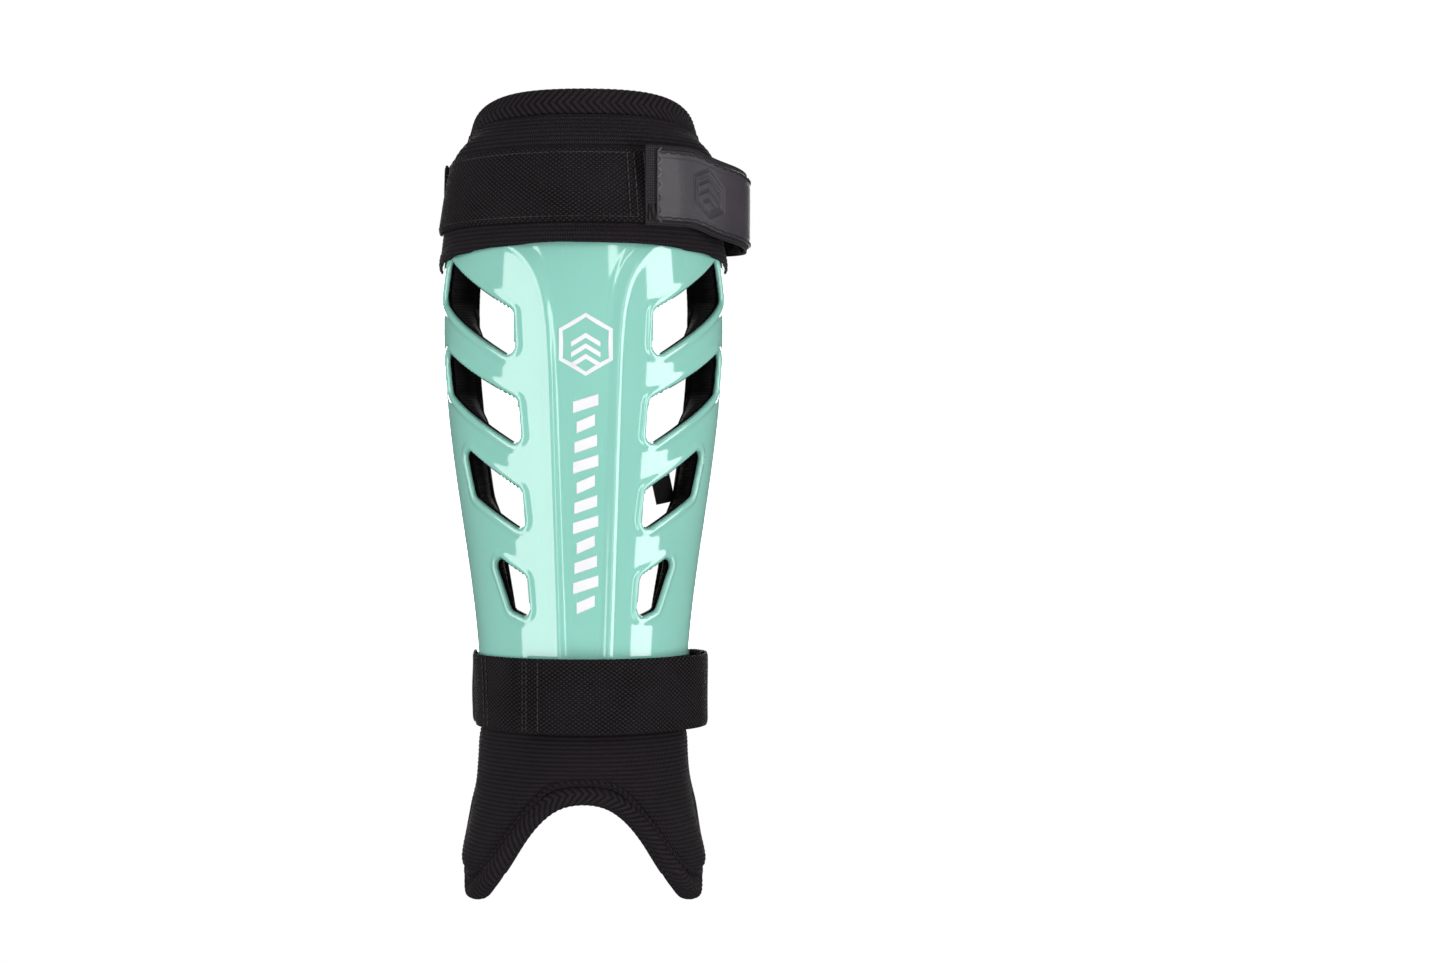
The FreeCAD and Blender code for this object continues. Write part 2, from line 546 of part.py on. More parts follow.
def make_parts():
    """Every piece of the guard, by node name."""
    parts = {"shell": make_shell()}
    parts["shell_hook_pads"] = make_fixing_pads(HOOK_PAD)
    parts["liner_loop_pads"] = make_fixing_pads(LOOP_PAD)
    foam, lining = make_liner(FOAM), make_liner(LINING)
    ankle_foam, ankle_lining = make_ankle(ANKLE_FOAM), make_ankle(ANKLE_LINING)
    parts["top_binding"] = make_top_binding(foam, lining)
    parts["side_binding_left"] = make_side_binding(-1, foam, lining)
    parts["side_binding_right"] = make_side_binding(1, foam, lining)
    parts["arch_binding"] = make_arch_binding(ankle_foam, ankle_lining)
    for side, name in ((-1, "left"), (1, "right")):
        parts["ankle_disc_" + name] = disc_bore(side, DISC_RADIUS, ANKLE_FOAM[0], ANKLE_FOAM[0] - DISC_WALL)
        bore = disc_bore(side, DISC_RADIUS + GAP, ANKLE_FOAM[0] + 1.0, ANKLE_FOAM[0] - DISC_WALL - GAP)
        ankle_foam = ankle_foam.cut(bore)
    parts["liner_foam"] = foam
    parts["liner_lining"] = lining
    parts["ankle_foam"] = ankle_foam
    parts["ankle_lining"] = ankle_lining
    parts["ankle_cover"] = liner_wall(COVER, UNDER_PADS, SHELL_BOTTOM - GAP).common(
        above_outline(COVER_OUTLINE, 0.0)).common(behind_pads(BINDING_WIDTH + GAP))
    parts["arch_piping"] = make_piping()
    parts["top_edge_pad"] = liner_wall(EDGE_PAD, SHELL_TOP + GAP, SLEEVE_TOP, levels=4).common(
        below_top(BINDING_WIDTH + 1.0))
    parts["top_sleeve"] = make_sleeve()
    parts["sleeve_hem"] = make_hem()
    parts["care_label"] = make_label()
    parts.update(make_top_strap())
    parts.update(make_lower_strap())
    return parts


def main():
    os.makedirs("parts", exist_ok=True)
    for name, shape in make_parts().items():
        solids = Part.makeCompound(shape.Solids)
        box = solids.BoundBox
        print(f"{name}: {len(solids.Solids)} solid, {solids.Volume / 1000:.2f} cm3, valid {solids.isValid()}, "
              f"x {box.XMin:.1f}..{box.XMax:.1f} y {box.YMin:.1f}..{box.YMax:.1f} z {box.ZMin:.1f}..{box.ZMax:.1f}")
        solids.exportStep(f"parts/{name}.step")


main()
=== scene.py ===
import math

import bpy
import numpy as np
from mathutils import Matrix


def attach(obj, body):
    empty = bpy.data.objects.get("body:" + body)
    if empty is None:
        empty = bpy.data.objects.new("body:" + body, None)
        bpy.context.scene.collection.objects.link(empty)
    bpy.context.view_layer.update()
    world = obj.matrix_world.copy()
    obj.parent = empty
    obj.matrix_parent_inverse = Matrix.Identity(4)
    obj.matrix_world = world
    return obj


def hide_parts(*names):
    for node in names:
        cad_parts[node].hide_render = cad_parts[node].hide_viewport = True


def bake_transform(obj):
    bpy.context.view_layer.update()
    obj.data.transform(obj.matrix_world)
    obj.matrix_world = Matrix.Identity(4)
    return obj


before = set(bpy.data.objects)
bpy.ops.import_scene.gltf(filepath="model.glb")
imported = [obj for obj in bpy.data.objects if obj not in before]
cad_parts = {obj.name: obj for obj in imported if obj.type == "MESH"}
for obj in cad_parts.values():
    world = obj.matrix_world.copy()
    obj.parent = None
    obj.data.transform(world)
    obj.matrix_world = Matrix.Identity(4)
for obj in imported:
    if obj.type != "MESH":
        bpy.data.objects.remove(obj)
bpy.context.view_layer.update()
mm = 0.001

# The form that every layer follows is the outer face of the shell
form = {"calfHalfWidth": 59.4, "calfLevel": 240.0, "ankleHalfWidth": 43.5, "ankleLevel": 75.0, "padLevel": 15.0,
        "flare": 7.8, "flarePower": 1.8, "topTaper": 0.0016, "depthRatio": 0.96, "height": 330.0, "topRound": 110.0}
lastTurn = 99.0  # the liner's rear edges


def halfWidth(z):
    # a cosine swell from ankle to calf, a square-law pull-in above it and a power-law flare below the ankle
    z = np.asarray(z, float)
    low = np.clip((form["ankleLevel"] - z) / (form["ankleLevel"] - form["padLevel"]), 0, 1) ** form["flarePower"]
    mid = np.clip((z - form["ankleLevel"]) / (form["calfLevel"] - form["ankleLevel"]), 0, 1)
    swell = (form["calfHalfWidth"] - form["ankleHalfWidth"]) * (1 - np.cos(math.pi * mid)) / 2
    pull = form["topTaper"] * np.clip(z - form["calfLevel"], 0, None) ** 2
    return form["ankleHalfWidth"] + form["flare"] * low + swell - pull


def formPoint(turn, z, offset=0.0):
    # half an ellipse at each level, then straight back at a millimetre per degree past 90
    turn, z, offset = np.broadcast_arrays(*[np.asarray(v, float) for v in (turn, z, offset)])
    side = np.radians(np.clip(turn, -90, 90))
    back = np.clip(np.abs(turn) - 90, 0, None)
    a = halfWidth(z)
    x = (a + offset) * np.sin(side)
    y = -(a * form["depthRatio"] + offset) * np.cos(side) + back
    return np.stack([x, y, z], -1)


def formNormal(turn, z):
    # cross product of the form's two small steps
    across = formPoint(turn + 0.3, z) - formPoint(turn - 0.3, z)
    up = formPoint(turn, z + 0.5) - formPoint(turn, z - 0.5)
    return unit(np.cross(across, up))


def unit(v):
    return v / np.clip(np.linalg.norm(v, axis=-1, keepdims=True), 1e-9, None)


def step(low, high, v):
    # smooth step from 0 at low to 1 at high
    t = np.clip((v - low) / (high - low), 0, 1)
    return t * t * (3 - 2 * t)


def bump(v, width):
    # bell curve of height 1
    return np.exp(-(v / width) ** 2)


def softNoise(u, v, scale, seed):
    # sum of six sine waves in seeded directions, about -1 to 1
    rng = np.random.default_rng(seed)
    total = 0.0
    for _ in range(6):
        angle, phase, size = rng.uniform(0, 2 * math.pi), rng.uniform(0, 2 * math.pi), rng.uniform(0.6, 1.6)
        total = total + np.sin((u * math.cos(angle) + v * math.sin(angle)) * 2 * math.pi * size / scale + phase)
    return total / 3.2


def topLevel(turn):
    # the top edge is an arc, seen from the side
    y = formPoint(turn, form["height"] - 5)[..., 1]
    front = -halfWidth(form["height"]) * form["depthRatio"]
    return form["height"] - form["topRound"] + np.sqrt(form["topRound"] ** 2 - (y - front) ** 2)


def runAlong(points):
    # length walked along a path at each of its points
    return np.concatenate([[0], np.cumsum(np.linalg.norm(np.diff(points, axis=0), axis=1))])


def smoothCurve(points, count):
    # natural cubic spline through the points against chord length, read at even spacing
    p = np.array(points, float)
    t = runAlong(p)
    h = np.diff(t)
    i = np.arange(1, len(p) - 1)
    system, right = np.eye(len(p)), np.zeros_like(p)
    system[i, i - 1], system[i, i], system[i, i + 1] = h[i - 1], 2 * (h[i - 1] + h[i]), h[i]
    right[i] = 6 * ((p[i + 1] - p[i]) / h[i, None] - (p[i] - p[i - 1]) / h[i - 1, None])
    m = np.linalg.solve(system, right)

    def at(x):
        k = np.clip(np.searchsorted(t, x, side="right") - 1, 0, len(p) - 2)
        a = ((t[k + 1] - x) / h[k])[:, None]
        b = 1 - a
        bend = ((a ** 3 - a) * m[k] + (b ** 3 - b) * m[k + 1]) * (h[k] ** 2)[:, None] / 6
        return a * p[k] + b * p[k + 1] + bend

    fine = np.linspace(0, t[-1], 2000)
    run = runAlong(at(fine))
    return at(np.interp(np.linspace(0, run[-1], count), run, fine))


def makeMesh(name, points, quads, tris=None, uv=None, material=None, closed=False):
    # one object from arrays; a closed mesh whose signed volume is negative has its faces turned round
    points = np.asarray(points, float).reshape(-1, 3) * mm
    quads = np.asarray(quads, int).reshape(-1, 4)
    tris = np.zeros((0, 3), int) if tris is None else np.asarray(tris, int).reshape(-1, 3)
    if closed:
        corners = np.concatenate([quads[:, :3], quads[:, [0, 2, 3]], tris])
        a, b, c = (points[corners[:, k]] for k in range(3))
        if np.einsum("ij,ij->i", a, np.cross(b, c)).sum() < 0:
            quads, tris = quads[:, ::-1], tris[:, ::-1]
    mesh = bpy.data.meshes.new(name)
    mesh.vertices.add(len(points))
    mesh.vertices.foreach_set("co", points.ravel())
    loops = np.concatenate([quads.ravel(), tris.ravel()])
    starts = np.concatenate([np.arange(len(quads)) * 4, len(quads) * 4 + np.arange(len(tris)) * 3])
    mesh.loops.add(len(loops))
    mesh.loops.foreach_set("vertex_index", loops)
    mesh.polygons.add(len(starts))
    mesh.polygons.foreach_set("loop_start", starts)
    mesh.update(calc_edges=True)
    mesh.polygons.foreach_set("use_smooth", np.ones(len(starts), bool))
    if uv is not None:
        layer = mesh.uv_layers.new(name="lengths")  # millimetres along and across the piece
        layer.data.foreach_set("uv", np.asarray(uv, float).reshape(-1, 2)[loops].ravel())
    mesh.validate()
    obj = bpy.data.objects.new(name, mesh)
    bpy.context.scene.collection.objects.link(obj)
    if material:
        mesh.materials.append(material)
    return obj


def gridQuads(rows, cols, wrap=False):
    # quads of a grid in reading order; wrap joins the last column to the first
    index = np.arange(rows * cols).reshape(rows, cols)
    right = np.roll(index, -1, axis=1) if wrap else index[:, 1:]
    left = index if wrap else index[:, :-1]
    return np.stack([left[:-1], right[:-1], right[1:], left[1:]], -1).reshape(-1, 4)


def meshPoints(obj):
    co = np.zeros(len(obj.data.vertices) * 3)
    obj.data.vertices.foreach_get("co", co)
    return co.reshape(-1, 3)


def thicken(obj, thickness):
    wall = obj.modifiers.new("wall", "SOLIDIFY")
    wall.thickness = thickness * mm
    wall.offset = -1.0
    wall.use_even_offset = False


# Materials, built from node groups that several of them share
def feed(tree, socket, v):
    # a value or another node's socket into an input
    if isinstance(v, bpy.types.NodeSocket):
        tree.links.new(v, socket)
    else:
        socket.default_value = v


def feedAll(tree, node, **inputs):
    # the same for inputs by name, where an underscore stands for a space
    for label, v in inputs.items():
        feed(tree, node.inputs[label.replace("_", " ")], v)
    return node


def addNode(tree, kind, **inputs):
    return feedAll(tree, tree.nodes.new("ShaderNode" + kind), **inputs)


def maths(tree, kind, *values):
    node = tree.nodes.new("ShaderNodeMath")
    node.operation = kind
    for socket, v in zip(node.inputs, values):
        feed(tree, socket, v)
    return node.outputs[0]


def ridges(tree, value, power=1.0):
    # 0 to 1 ridges, one per unit of the value
    ridge = maths(tree, "ABSOLUTE", maths(tree, "SINE", maths(tree, "MULTIPLY", value, math.pi)))
    return maths(tree, "POWER", ridge, power)


def newGroup(name, outputs, **inputs):
    # a node group fed by a place and some values: its tree, what it is given and what it sends
    tree = bpy.data.node_groups.new(name, "ShaderNodeTree")
    tree.interface.new_socket("Place", in_out="INPUT", socket_type="NodeSocketVector")
    for label, value in inputs.items():
        tree.interface.new_socket(label, in_out="INPUT", socket_type="NodeSocketFloat").default_value = value
    for label in outputs:
        tree.interface.new_socket(label, in_out="OUTPUT", socket_type="NodeSocketFloat")
    return tree, tree.nodes.new("NodeGroupInput").outputs, tree.nodes.new("NodeGroupOutput").inputs


def threadGroup(name, height, **inputs):
    # a cloth pattern: the height function gets the tree, the given values, and the place's two lengths
    tree, given, sent = newGroup(name, ["Height"], **inputs)
    x, y, _ = addNode(tree, "SeparateXYZ", Vector=given["Place"]).outputs
    tree.links.new(height(tree, given, x, y), sent["Height"])
    return tree


def diamondHeight(tree, given, x, y):
    # two crossed families of slanted ridges, so that loops stand up between them
    a = maths(tree, "DIVIDE", x, given["Pitch"])
    b = maths(tree, "DIVIDE", y, given["Rise"])
    return maths(tree, "MULTIPLY", *[ridges(tree, maths(tree, kind, a, b)) for kind in ("ADD", "SUBTRACT")])


def ribHeight(tree, given, x, y):
    # rows of slanted stitches: each rib is crossed by ridges that lean one way and then the other
    rib = maths(tree, "DIVIDE", y, given["Rib"])
    run = maths(tree, "ADD", maths(tree, "DIVIDE", x, given["Stitch"]), maths(tree, "PINGPONG", rib, 0.5))
    return maths(tree, "MULTIPLY_ADD", ridges(tree, run), 0.5, maths(tree, "MULTIPLY", ridges(tree, rib), 0.6))


def twillHeight(tree, given, x, y):
    # herringbone: slanted ridges that turn back at the tape's middle line, with threads across them
    lean = maths(tree, "MULTIPLY", maths(tree, "ABSOLUTE", y), given["Lean"])
    ridge = ridges(tree, maths(tree, "DIVIDE", maths(tree, "ADD", x, lean), given["Pitch"]))
    thread = ridges(tree, maths(tree, "DIVIDE", maths(tree, "SUBTRACT", x, lean), 0.55))
    return maths(tree, "MULTIPLY_ADD", thread, 0.25, ridge)


def weaveHeight(tree, given, x, y):
    # plain weave: over and under threads from two crossed waves
    return maths(tree, "MULTIPLY", *[ridges(tree, maths(tree, "DIVIDE", v, given["Pitch"]), 0.6) for v in (x, y)])


def fluffGroup():
    # fine fibre noise, soft patches and rare lint, from Object coordinates in metres
    tree, given, sent = newGroup("fibreAndLint", ["Fibre", "Patch", "Lint"], Fibre=2500.0)
    for label, scale, low, high in (("Fibre", given["Fibre"], 0.3, 0.7), ("Patch", 38.0, 0.35, 0.65),
                                    ("Lint", 620.0, 0.80, 0.84)):
        noise = addNode(tree, "TexNoise", Vector=given["Place"], Scale=scale, Detail=3.0)
        span = addNode(tree, "MapRange", Value=noise.outputs[0], From_Min=low, From_Max=high)
        tree.links.new(span.outputs[0], sent[label])
    return tree


def handlingGroup():
    # smears and hairline scratches on a glossy face, from Object coordinates in metres
    tree, given, sent = newGroup("handlingMarks", ["Smear", "Scratch"])
    stretch = addNode(tree, "Mapping", Vector=given["Place"], Scale=(900.0, 900.0, 60.0))
    fine = addNode(tree, "TexNoise", Vector=stretch.outputs[0], Scale=1.0)
    scratch = addNode(tree, "MapRange", Value=fine.outputs[0], From_Min=0.68, From_Max=0.80)
    broad = addNode(tree, "TexNoise", Vector=given["Place"], Scale=32.0, Detail=5.0)
    tree.links.new(broad.outputs[0], sent["Smear"])
    tree.links.new(scratch.outputs[0], sent["Scratch"])
    return tree


groups = {"diamond": threadGroup("diamondKnit", diamondHeight, Pitch=2.2, Rise=1.5),
          "rib": threadGroup("ribKnit", ribHeight, Rib=1.7, Stitch=0.9),
          "twill": threadGroup("herringbone", twillHeight, Pitch=2.2, Lean=1.0),
          "weave": threadGroup("plainWeave", weaveHeight, Pitch=0.9),
          "fluff": fluffGroup(), "handling": handlingGroup()}


def startMaterial(name):
    material = bpy.data.materials.new(name)
    material.use_nodes = True
    tree = material.node_tree
    shader = next(n for n in tree.nodes if n.type == "BSDF_PRINCIPLED")
    return material, tree, shader, tree.nodes.new("ShaderNodeTexCoord").outputs


def useGroup(tree, group, place, **values):
    node = tree.nodes.new("ShaderNodeGroup")
    node.node_tree = groups[group]
    return feedAll(tree, node, Place=place, **values).outputs


def mixColour(tree, factor, a, b):
    node = tree.nodes.new("ShaderNodeMix")
    node.data_type = "RGBA"
    for k, v in ((0, factor), (6, a), (7, b)):  # a colour mix has its two colours at inputs 6 and 7
        feed(tree, node.inputs[k], (*v, 1.0) if isinstance(v, tuple) else v)
    return node.outputs[2]


def bumpNode(tree, height, distance, strength=1.0, **normal):
    return addNode(tree, "Bump", Height=height, Distance=distance * mm, Strength=strength, **normal).outputs[0]


cloth = {"rough": (0.72, 0.95), "sheenRough": 0.45, "specular": 0.10, "patch": 0.18, "lint": 0.35,
         "lintColour": (0.12, 0.11, 0.11), "fibreDepth": 0.05}


def clothMaterial(name, dark, light, pattern, depth, sheen=0.015, byUv=True, **values):
    # painted shade and highlight: the thread colour goes from dark in the pattern's grooves to light on its raised
    # threads, following the pattern's height; fibres and lint break it up
    material, tree, shader, place = startMaterial(name)
    spot = place["UV"] if byUv else addNode(tree, "Mapping", Vector=place["Object"], Scale=(1 / mm,) * 3).outputs[0]
    height = useGroup(tree, pattern, spot, **values)["Height"]
    fluff = useGroup(tree, "fluff", place["Object"])
    fibreShadeScale = maths(tree, "MULTIPLY_ADD", fluff["Fibre"], 0.6, 0.4)
    # painted shade in the grooves and painted highlight on the raised threads, scaled by the fibre noise
    colour = mixColour(tree, maths(tree, "MULTIPLY", maths(tree, "POWER", height, 1.5), fibreShadeScale), dark, light)
    patch = maths(tree, "MULTIPLY", fluff["Patch"], cloth["patch"])
    colour = mixColour(tree, patch, colour, tuple(0.9 * v for v in light))
    colour = mixColour(tree, maths(tree, "MULTIPLY", fluff["Lint"], cloth["lint"]), colour, cloth["lintColour"])
    rough = addNode(tree, "MapRange", Value=fluff["Fibre"], To_Min=cloth["rough"][0], To_Max=cloth["rough"][1])
    fibres = bumpNode(tree, fluff["Fibre"], cloth["fibreDepth"], 0.5)
    feedAll(tree, shader, Base_Color=colour, Roughness=rough.outputs[0], Sheen_Weight=sheen,
            Sheen_Roughness=cloth["sheenRough"], Specular_IOR_Level=cloth["specular"],
            Normal=bumpNode(tree, height, depth, Normal=fibres))
    return material


mint = {"deep": (0.250, 0.590, 0.495), "pale": (0.290, 0.635, 0.545), "scratched": (0.75, 0.90, 0.86),
        "scratch": 0.12, "rough": 0.06, "smear": 0.08}


def shellMaterial():
    # mint moulding under clear gloss, with smears and scratches in its roughness
    material, tree, shader, place = startMaterial("mintShell")
    marks = useGroup(tree, "handling", place["Object"])
    colour = mixColour(tree, marks["Smear"], mint["deep"], mint["pale"])
    faint = maths(tree, "MULTIPLY", marks["Scratch"], mint["scratch"])
    rough = mint["rough"]
    for label in ("Smear", "Scratch"):
        rough = maths(tree, "MULTIPLY_ADD", marks[label], mint["smear"], rough)
    feedAll(tree, shader, Base_Color=mixColour(tree, faint, colour, mint["scratched"]), Roughness=rough,
            Coat_Weight=1.0, Coat_Roughness=0.04, IOR=1.52, Subsurface_Weight=0.12, Subsurface_Scale=0.004,
            Normal=bumpNode(tree, marks["Smear"], 0.06, 0.35))
    return material


def smoothMaterial(name, low, high, rough, grain, depth, coat=0.0):
    # moulded or coated sheet: fine pebble grain, patchy colour
    material, tree, shader, place = startMaterial(name)
    pebble = addNode(tree, "TexVoronoi", Vector=place["Object"], Scale=grain).outputs["Distance"]
    fluff = useGroup(tree, "fluff", place["Object"], Fibre=900.0)
    feedAll(tree, shader, Base_Color=mixColour(tree, fluff["Patch"], low, high), Coat_Weight=coat,
            Roughness=maths(tree, "MULTIPLY_ADD", fluff["Fibre"], 0.12, rough),
            Normal=bumpNode(tree, pebble, depth, 0.6))
    return material


black = (0.0018, 0.0014, 0.0018)
finishes = {
    "shell": shellMaterial(),
    "print": smoothMaterial("whitePrint", (0.80, 0.80, 0.82), (0.86, 0.86, 0.88), 0.30, 1500.0, 0.02, 0.3),
    # each cloth finish goes from its dark colour, painted shade in the pattern's grooves, to its lighter colour,
    # painted highlight on the raised threads
    "elastic": clothMaterial("diamondElastic", black, (0.044, 0.036, 0.042), "diamond", 0.8, Pitch=2.3, Rise=1.7),
    "knit": clothMaterial("ribbedKnit", black, (0.026, 0.021, 0.025), "rib", 0.6, Rib=1.75, Stitch=0.95),
    "tape": clothMaterial("herringboneTape", black, (0.024, 0.019, 0.023), "twill", 0.6, Pitch=2.6, Lean=0.75),
    "lining": clothMaterial("brushedLining", (0.0025, 0.0022, 0.0025), (0.013, 0.011, 0.013), "weave", 0.25,
                            sheen=0.08, Pitch=1.3),
    "padCloth": clothMaterial("padLining", (0.003, 0.0026, 0.003), (0.017, 0.014, 0.017), "weave", 0.2, byUv=False,
                              Pitch=1.3),
    "backing": clothMaterial("wovenBacking", (0.010, 0.009, 0.010), (0.060, 0.055, 0.060), "weave", 0.30, Pitch=1.0),
    "hooks": clothMaterial("hookTape", black, (0.05, 0.05, 0.05), "weave", 0.5, byUv=False, Pitch=1.3),
    "foam": smoothMaterial("closedFoam", (0.012, 0.012, 0.013), (0.022, 0.021, 0.023), 0.8, 1800.0, 0.08),
    "plastic": smoothMaterial("discPlastic", (0.03, 0.03, 0.03), (0.045, 0.045, 0.045), 0.45, 2200.0, 0.04),
    "leather": smoothMaterial("coatedTab", (0.026, 0.021, 0.028), (0.034, 0.028, 0.037), 0.50, 2600.0, 0.05, 0.05),
    "thread": smoothMaterial("blackThread", (0.005, 0.004, 0.005), (0.014, 0.012, 0.014), 0.6, 3000.0, 0.05),
    "paleThread": smoothMaterial("paleThread", (0.012, 0.010, 0.012), (0.16, 0.15, 0.16), 0.6, 3000.0, 0.05),
    "label": smoothMaterial("satinLabel", (0.010, 0.009, 0.011), (0.018, 0.016, 0.019), 0.5, 2500.0, 0.03),
}
print("materials made:", len(finishes))

# Each vent is (turn, level) at its inner top, inner foot, outer top and outer foot, for the right-hand side
vents = {"spots": [((29.0, 243.5), (28.3, 224.0), (70.4, 266.5), (76.5, 250.0)),
                   ((27.8, 207.8), (26.8, 188.4), (72.9, 229.5), (70.5, 211.5)),
                   ((28.4, 171.3), (27.4, 154.2), (61.4, 189.8), (57.4, 168.8)),
                   ((28.8, 136.0), (28.4, 119.2), (49.6, 146.4), (39.6, 122.4))],
         "corner": 3.0, "perDegree": 0.97}


def ventDistance(turn, z, inset=0.0):
    # signed distance to the nearest vent's rounded outline, plus outside; four half planes per vent, corners rounded
    best = np.full(np.shape(turn), 1e9)
    place = np.stack([np.abs(turn) * vents["perDegree"], z], -1)
    r = vents["corner"]
    for innerTop, innerFoot, outerTop, outerFoot in vents["spots"]:
        ring = np.array([innerFoot, outerFoot, outerTop, innerTop]) * [vents["perDegree"], 1.0]
        side = np.roll(ring, -1, axis=0) - ring
        out = np.stack([side[:, 1], -side[:, 0]], -1) / np.linalg.norm(side, axis=1)[:, None]
        reach = (ring * out).sum(1) - inset - r
        corner = np.array([np.linalg.solve(out[[k - 1, k]], reach[[k - 1, k]]) for k in range(4)])
        distance = np.full(np.shape(turn), 1e9)
        inside = np.full(np.shape(turn), -1e9)
        for k in range(4):
            a, b = corner[k], corner[(k + 1) % 4]
            along = b - a
            t = np.clip(((place - a) @ along) / (along @ along), 0, 1)
            distance = np.minimum(distance, np.linalg.norm(place - a - t[..., None] * along, axis=-1))
            inside = np.maximum(inside, place @ out[k] - reach[k])
        best = np.minimum(best, np.where(inside < 0, inside, distance) - r)
    return best


def openGrid(turns, levels, opening):
    # a grid whose points next to an outline are slid onto it, and whose faces inside it are left out
    u, v = np.meshgrid(turns, levels)
    d = opening(u, v)
    near = np.zeros(d.shape, bool)
    for axis in (0, 1):
        first = np.take(d, np.arange(d.shape[axis] - 1), axis)
        second = np.take(d, np.arange(1, d.shape[axis]), axis)
        cross = first * second < 0
        pickFirst = cross & (np.abs(first) <= np.abs(second))
        for picked, place in ((pickFirst, (0, 1)), (cross & ~pickFirst, (1, 0))):
            pad = [(0, 0), (0, 0)]
            pad[axis] = place
            near |= np.pad(picked, pad)
    k = vents["perDegree"]
    for _ in range(3):
        here = opening(u, v)
        du = (opening(u + 0.05, v) - opening(u - 0.05, v)) / (0.1 * k)
        dv = (opening(u, v + 0.05) - opening(u, v - 0.05)) / 0.1
        size = np.clip(du ** 2 + dv ** 2, 0.2, None)
        u = np.where(near, u - here * du / size / k, u)
        v = np.where(near, v - here * dv / size, v)
    d = np.where(near, 0.0, opening(u, v))
    quads = gridQuads(*d.shape)
    below = (d.ravel() < -1e-6)[quads]
    whole = quads[below.sum(1) == 0]
    part = quads[below.sum(1) == 1]
    lost = below[below.sum(1) == 1].argmax(1)
    tris = np.stack([part[np.arange(len(part)), (lost + k) % 4] for k in (1, 2, 3)], -1)
    return u, v, whole, tris, d


def dropUnused(points, quads, tris, *more):
    # keeps only the points that some face uses
    used = np.zeros(len(points), bool)
    used[quads.ravel()] = True
    used[tris.ravel()] = True
    new = np.cumsum(used) - 1
    return [points[used], new[quads], new[tris]] + [m[used] for m in more]


# Each line of the shell's middle channel is its half width at a level, its slope, and its flare at the head with
# that flare's length
shell = {"low": 86.0, "high": 300.0, "lastTurn": 95.0, "wall": 2.3, "grid": 214, "channel": 1.25,
         "outerLine": (9.8, 12.0, 10), "innerLine": (5.8, 7.2, 11), "lineLevel": 106, "slope": 0.03,
         "flareLevel": 267,
         "bead": (0.55, 0.5, 1.1), "crease": (0.22, -0.2, 0.6), "lip": 0.75, "lipAt": 2.0, "lipWidth": 1.3,
         "roll": 1.1, "ventRoll": 1.1, "sideRoll": 1.5}


def channelLines(z):
    # half widths of the middle channel's outer and inner line: a straight line plus an exponential flare
    return [base + shell["slope"] * (z - shell["lineLevel"]) + flare * np.exp((z - shell["flareLevel"]) / length)
            for base, flare, length in (shell["outerLine"], shell["innerLine"])]


def shellLift(turn, z, distance=None):
    # channel floor, the beads along its lines, the lip round each vent, and the edges rolled inwards
    across = np.abs(halfWidth(z) * np.sin(np.radians(np.clip(turn, -90, 90))))
    outer, inner = channelLines(z)
    lift = -shell["channel"] * (1 - step(inner, outer, across))
    for line, (high, beside, width) in ((outer, shell["bead"]), (inner, shell["crease"])):
        lift = lift + high * bump(across - line - beside, width)
    d = np.clip(ventDistance(turn, z) if distance is None else distance, 0, None)
    lift = lift + shell["lip"] * bump(d - shell["lipAt"], shell["lipWidth"])
    side = shell["lastTurn"] - np.abs(turn)
    for away, width in ((d, shell["ventRoll"]), (side, shell["sideRoll"])):
        lift = lift - shell["roll"] * np.clip(1 - away / width, 0, 1) ** 2
    return lift


def makeShell():
    turns = np.linspace(-shell["lastTurn"], shell["lastTurn"], shell["grid"])
    levels = np.linspace(shell["low"], shell["high"], shell["grid"])
    u, v, quads, tris, d = openGrid(turns, levels, ventDistance)
    points = formPoint(u, v, shellLift(u, v, d)).reshape(-1, 3)
    points, quads, tris = dropUnused(points, quads, tris)
    obj = makeMesh("moulded_shell", points, quads, tris, material=finishes["shell"])
    thicken(obj, shell["wall"])
    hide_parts("shell")
    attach(obj, "guard")


makeShell()
print("shell made")

# Print on the shell: plain generic marks
marks = {"emblemLevel": 229.5, "emblemRadius": 12.6, "ring": 1.7, "chevrons": (4.6, 0.4, -3.8), "chevronHalf": 6.0,
         "chevronDrop": 3.6, "chevronTall": 2.0, "barLow": 121.0, "barHigh": 210.0, "bars": 11, "barHalf": 5.2,
         "barShares": (1.0, 0.72, 0.9), "barTall": 4.6, "slant": 3.2, "thick": 0.07, "clear": 0.02, "middle": 0.9}


def printStrip(name, left, right):
    # a thin strip between two rows of (across, level) points, laid on the shell
    rows = np.stack([left + (right - left) * s for s in np.linspace(0, 1, 9)])
    x, z = rows[..., 0], rows[..., 1]
    turn = np.degrees(np.arcsin(x / halfWidth(z)))
    points = formPoint(turn, z, shellLift(turn, z) + marks["clear"] + marks["thick"])
    obj = makeMesh(name, points, gridQuads(*x.shape), material=finishes["print"])
    normals = np.zeros(len(obj.data.polygons) * 3)
    obj.data.polygons.foreach_get("normal", normals)
    if normals[1::3].mean() > 0:
        obj.data.flip_normals()
    thicken(obj, marks["thick"])
    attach(obj, "guard")


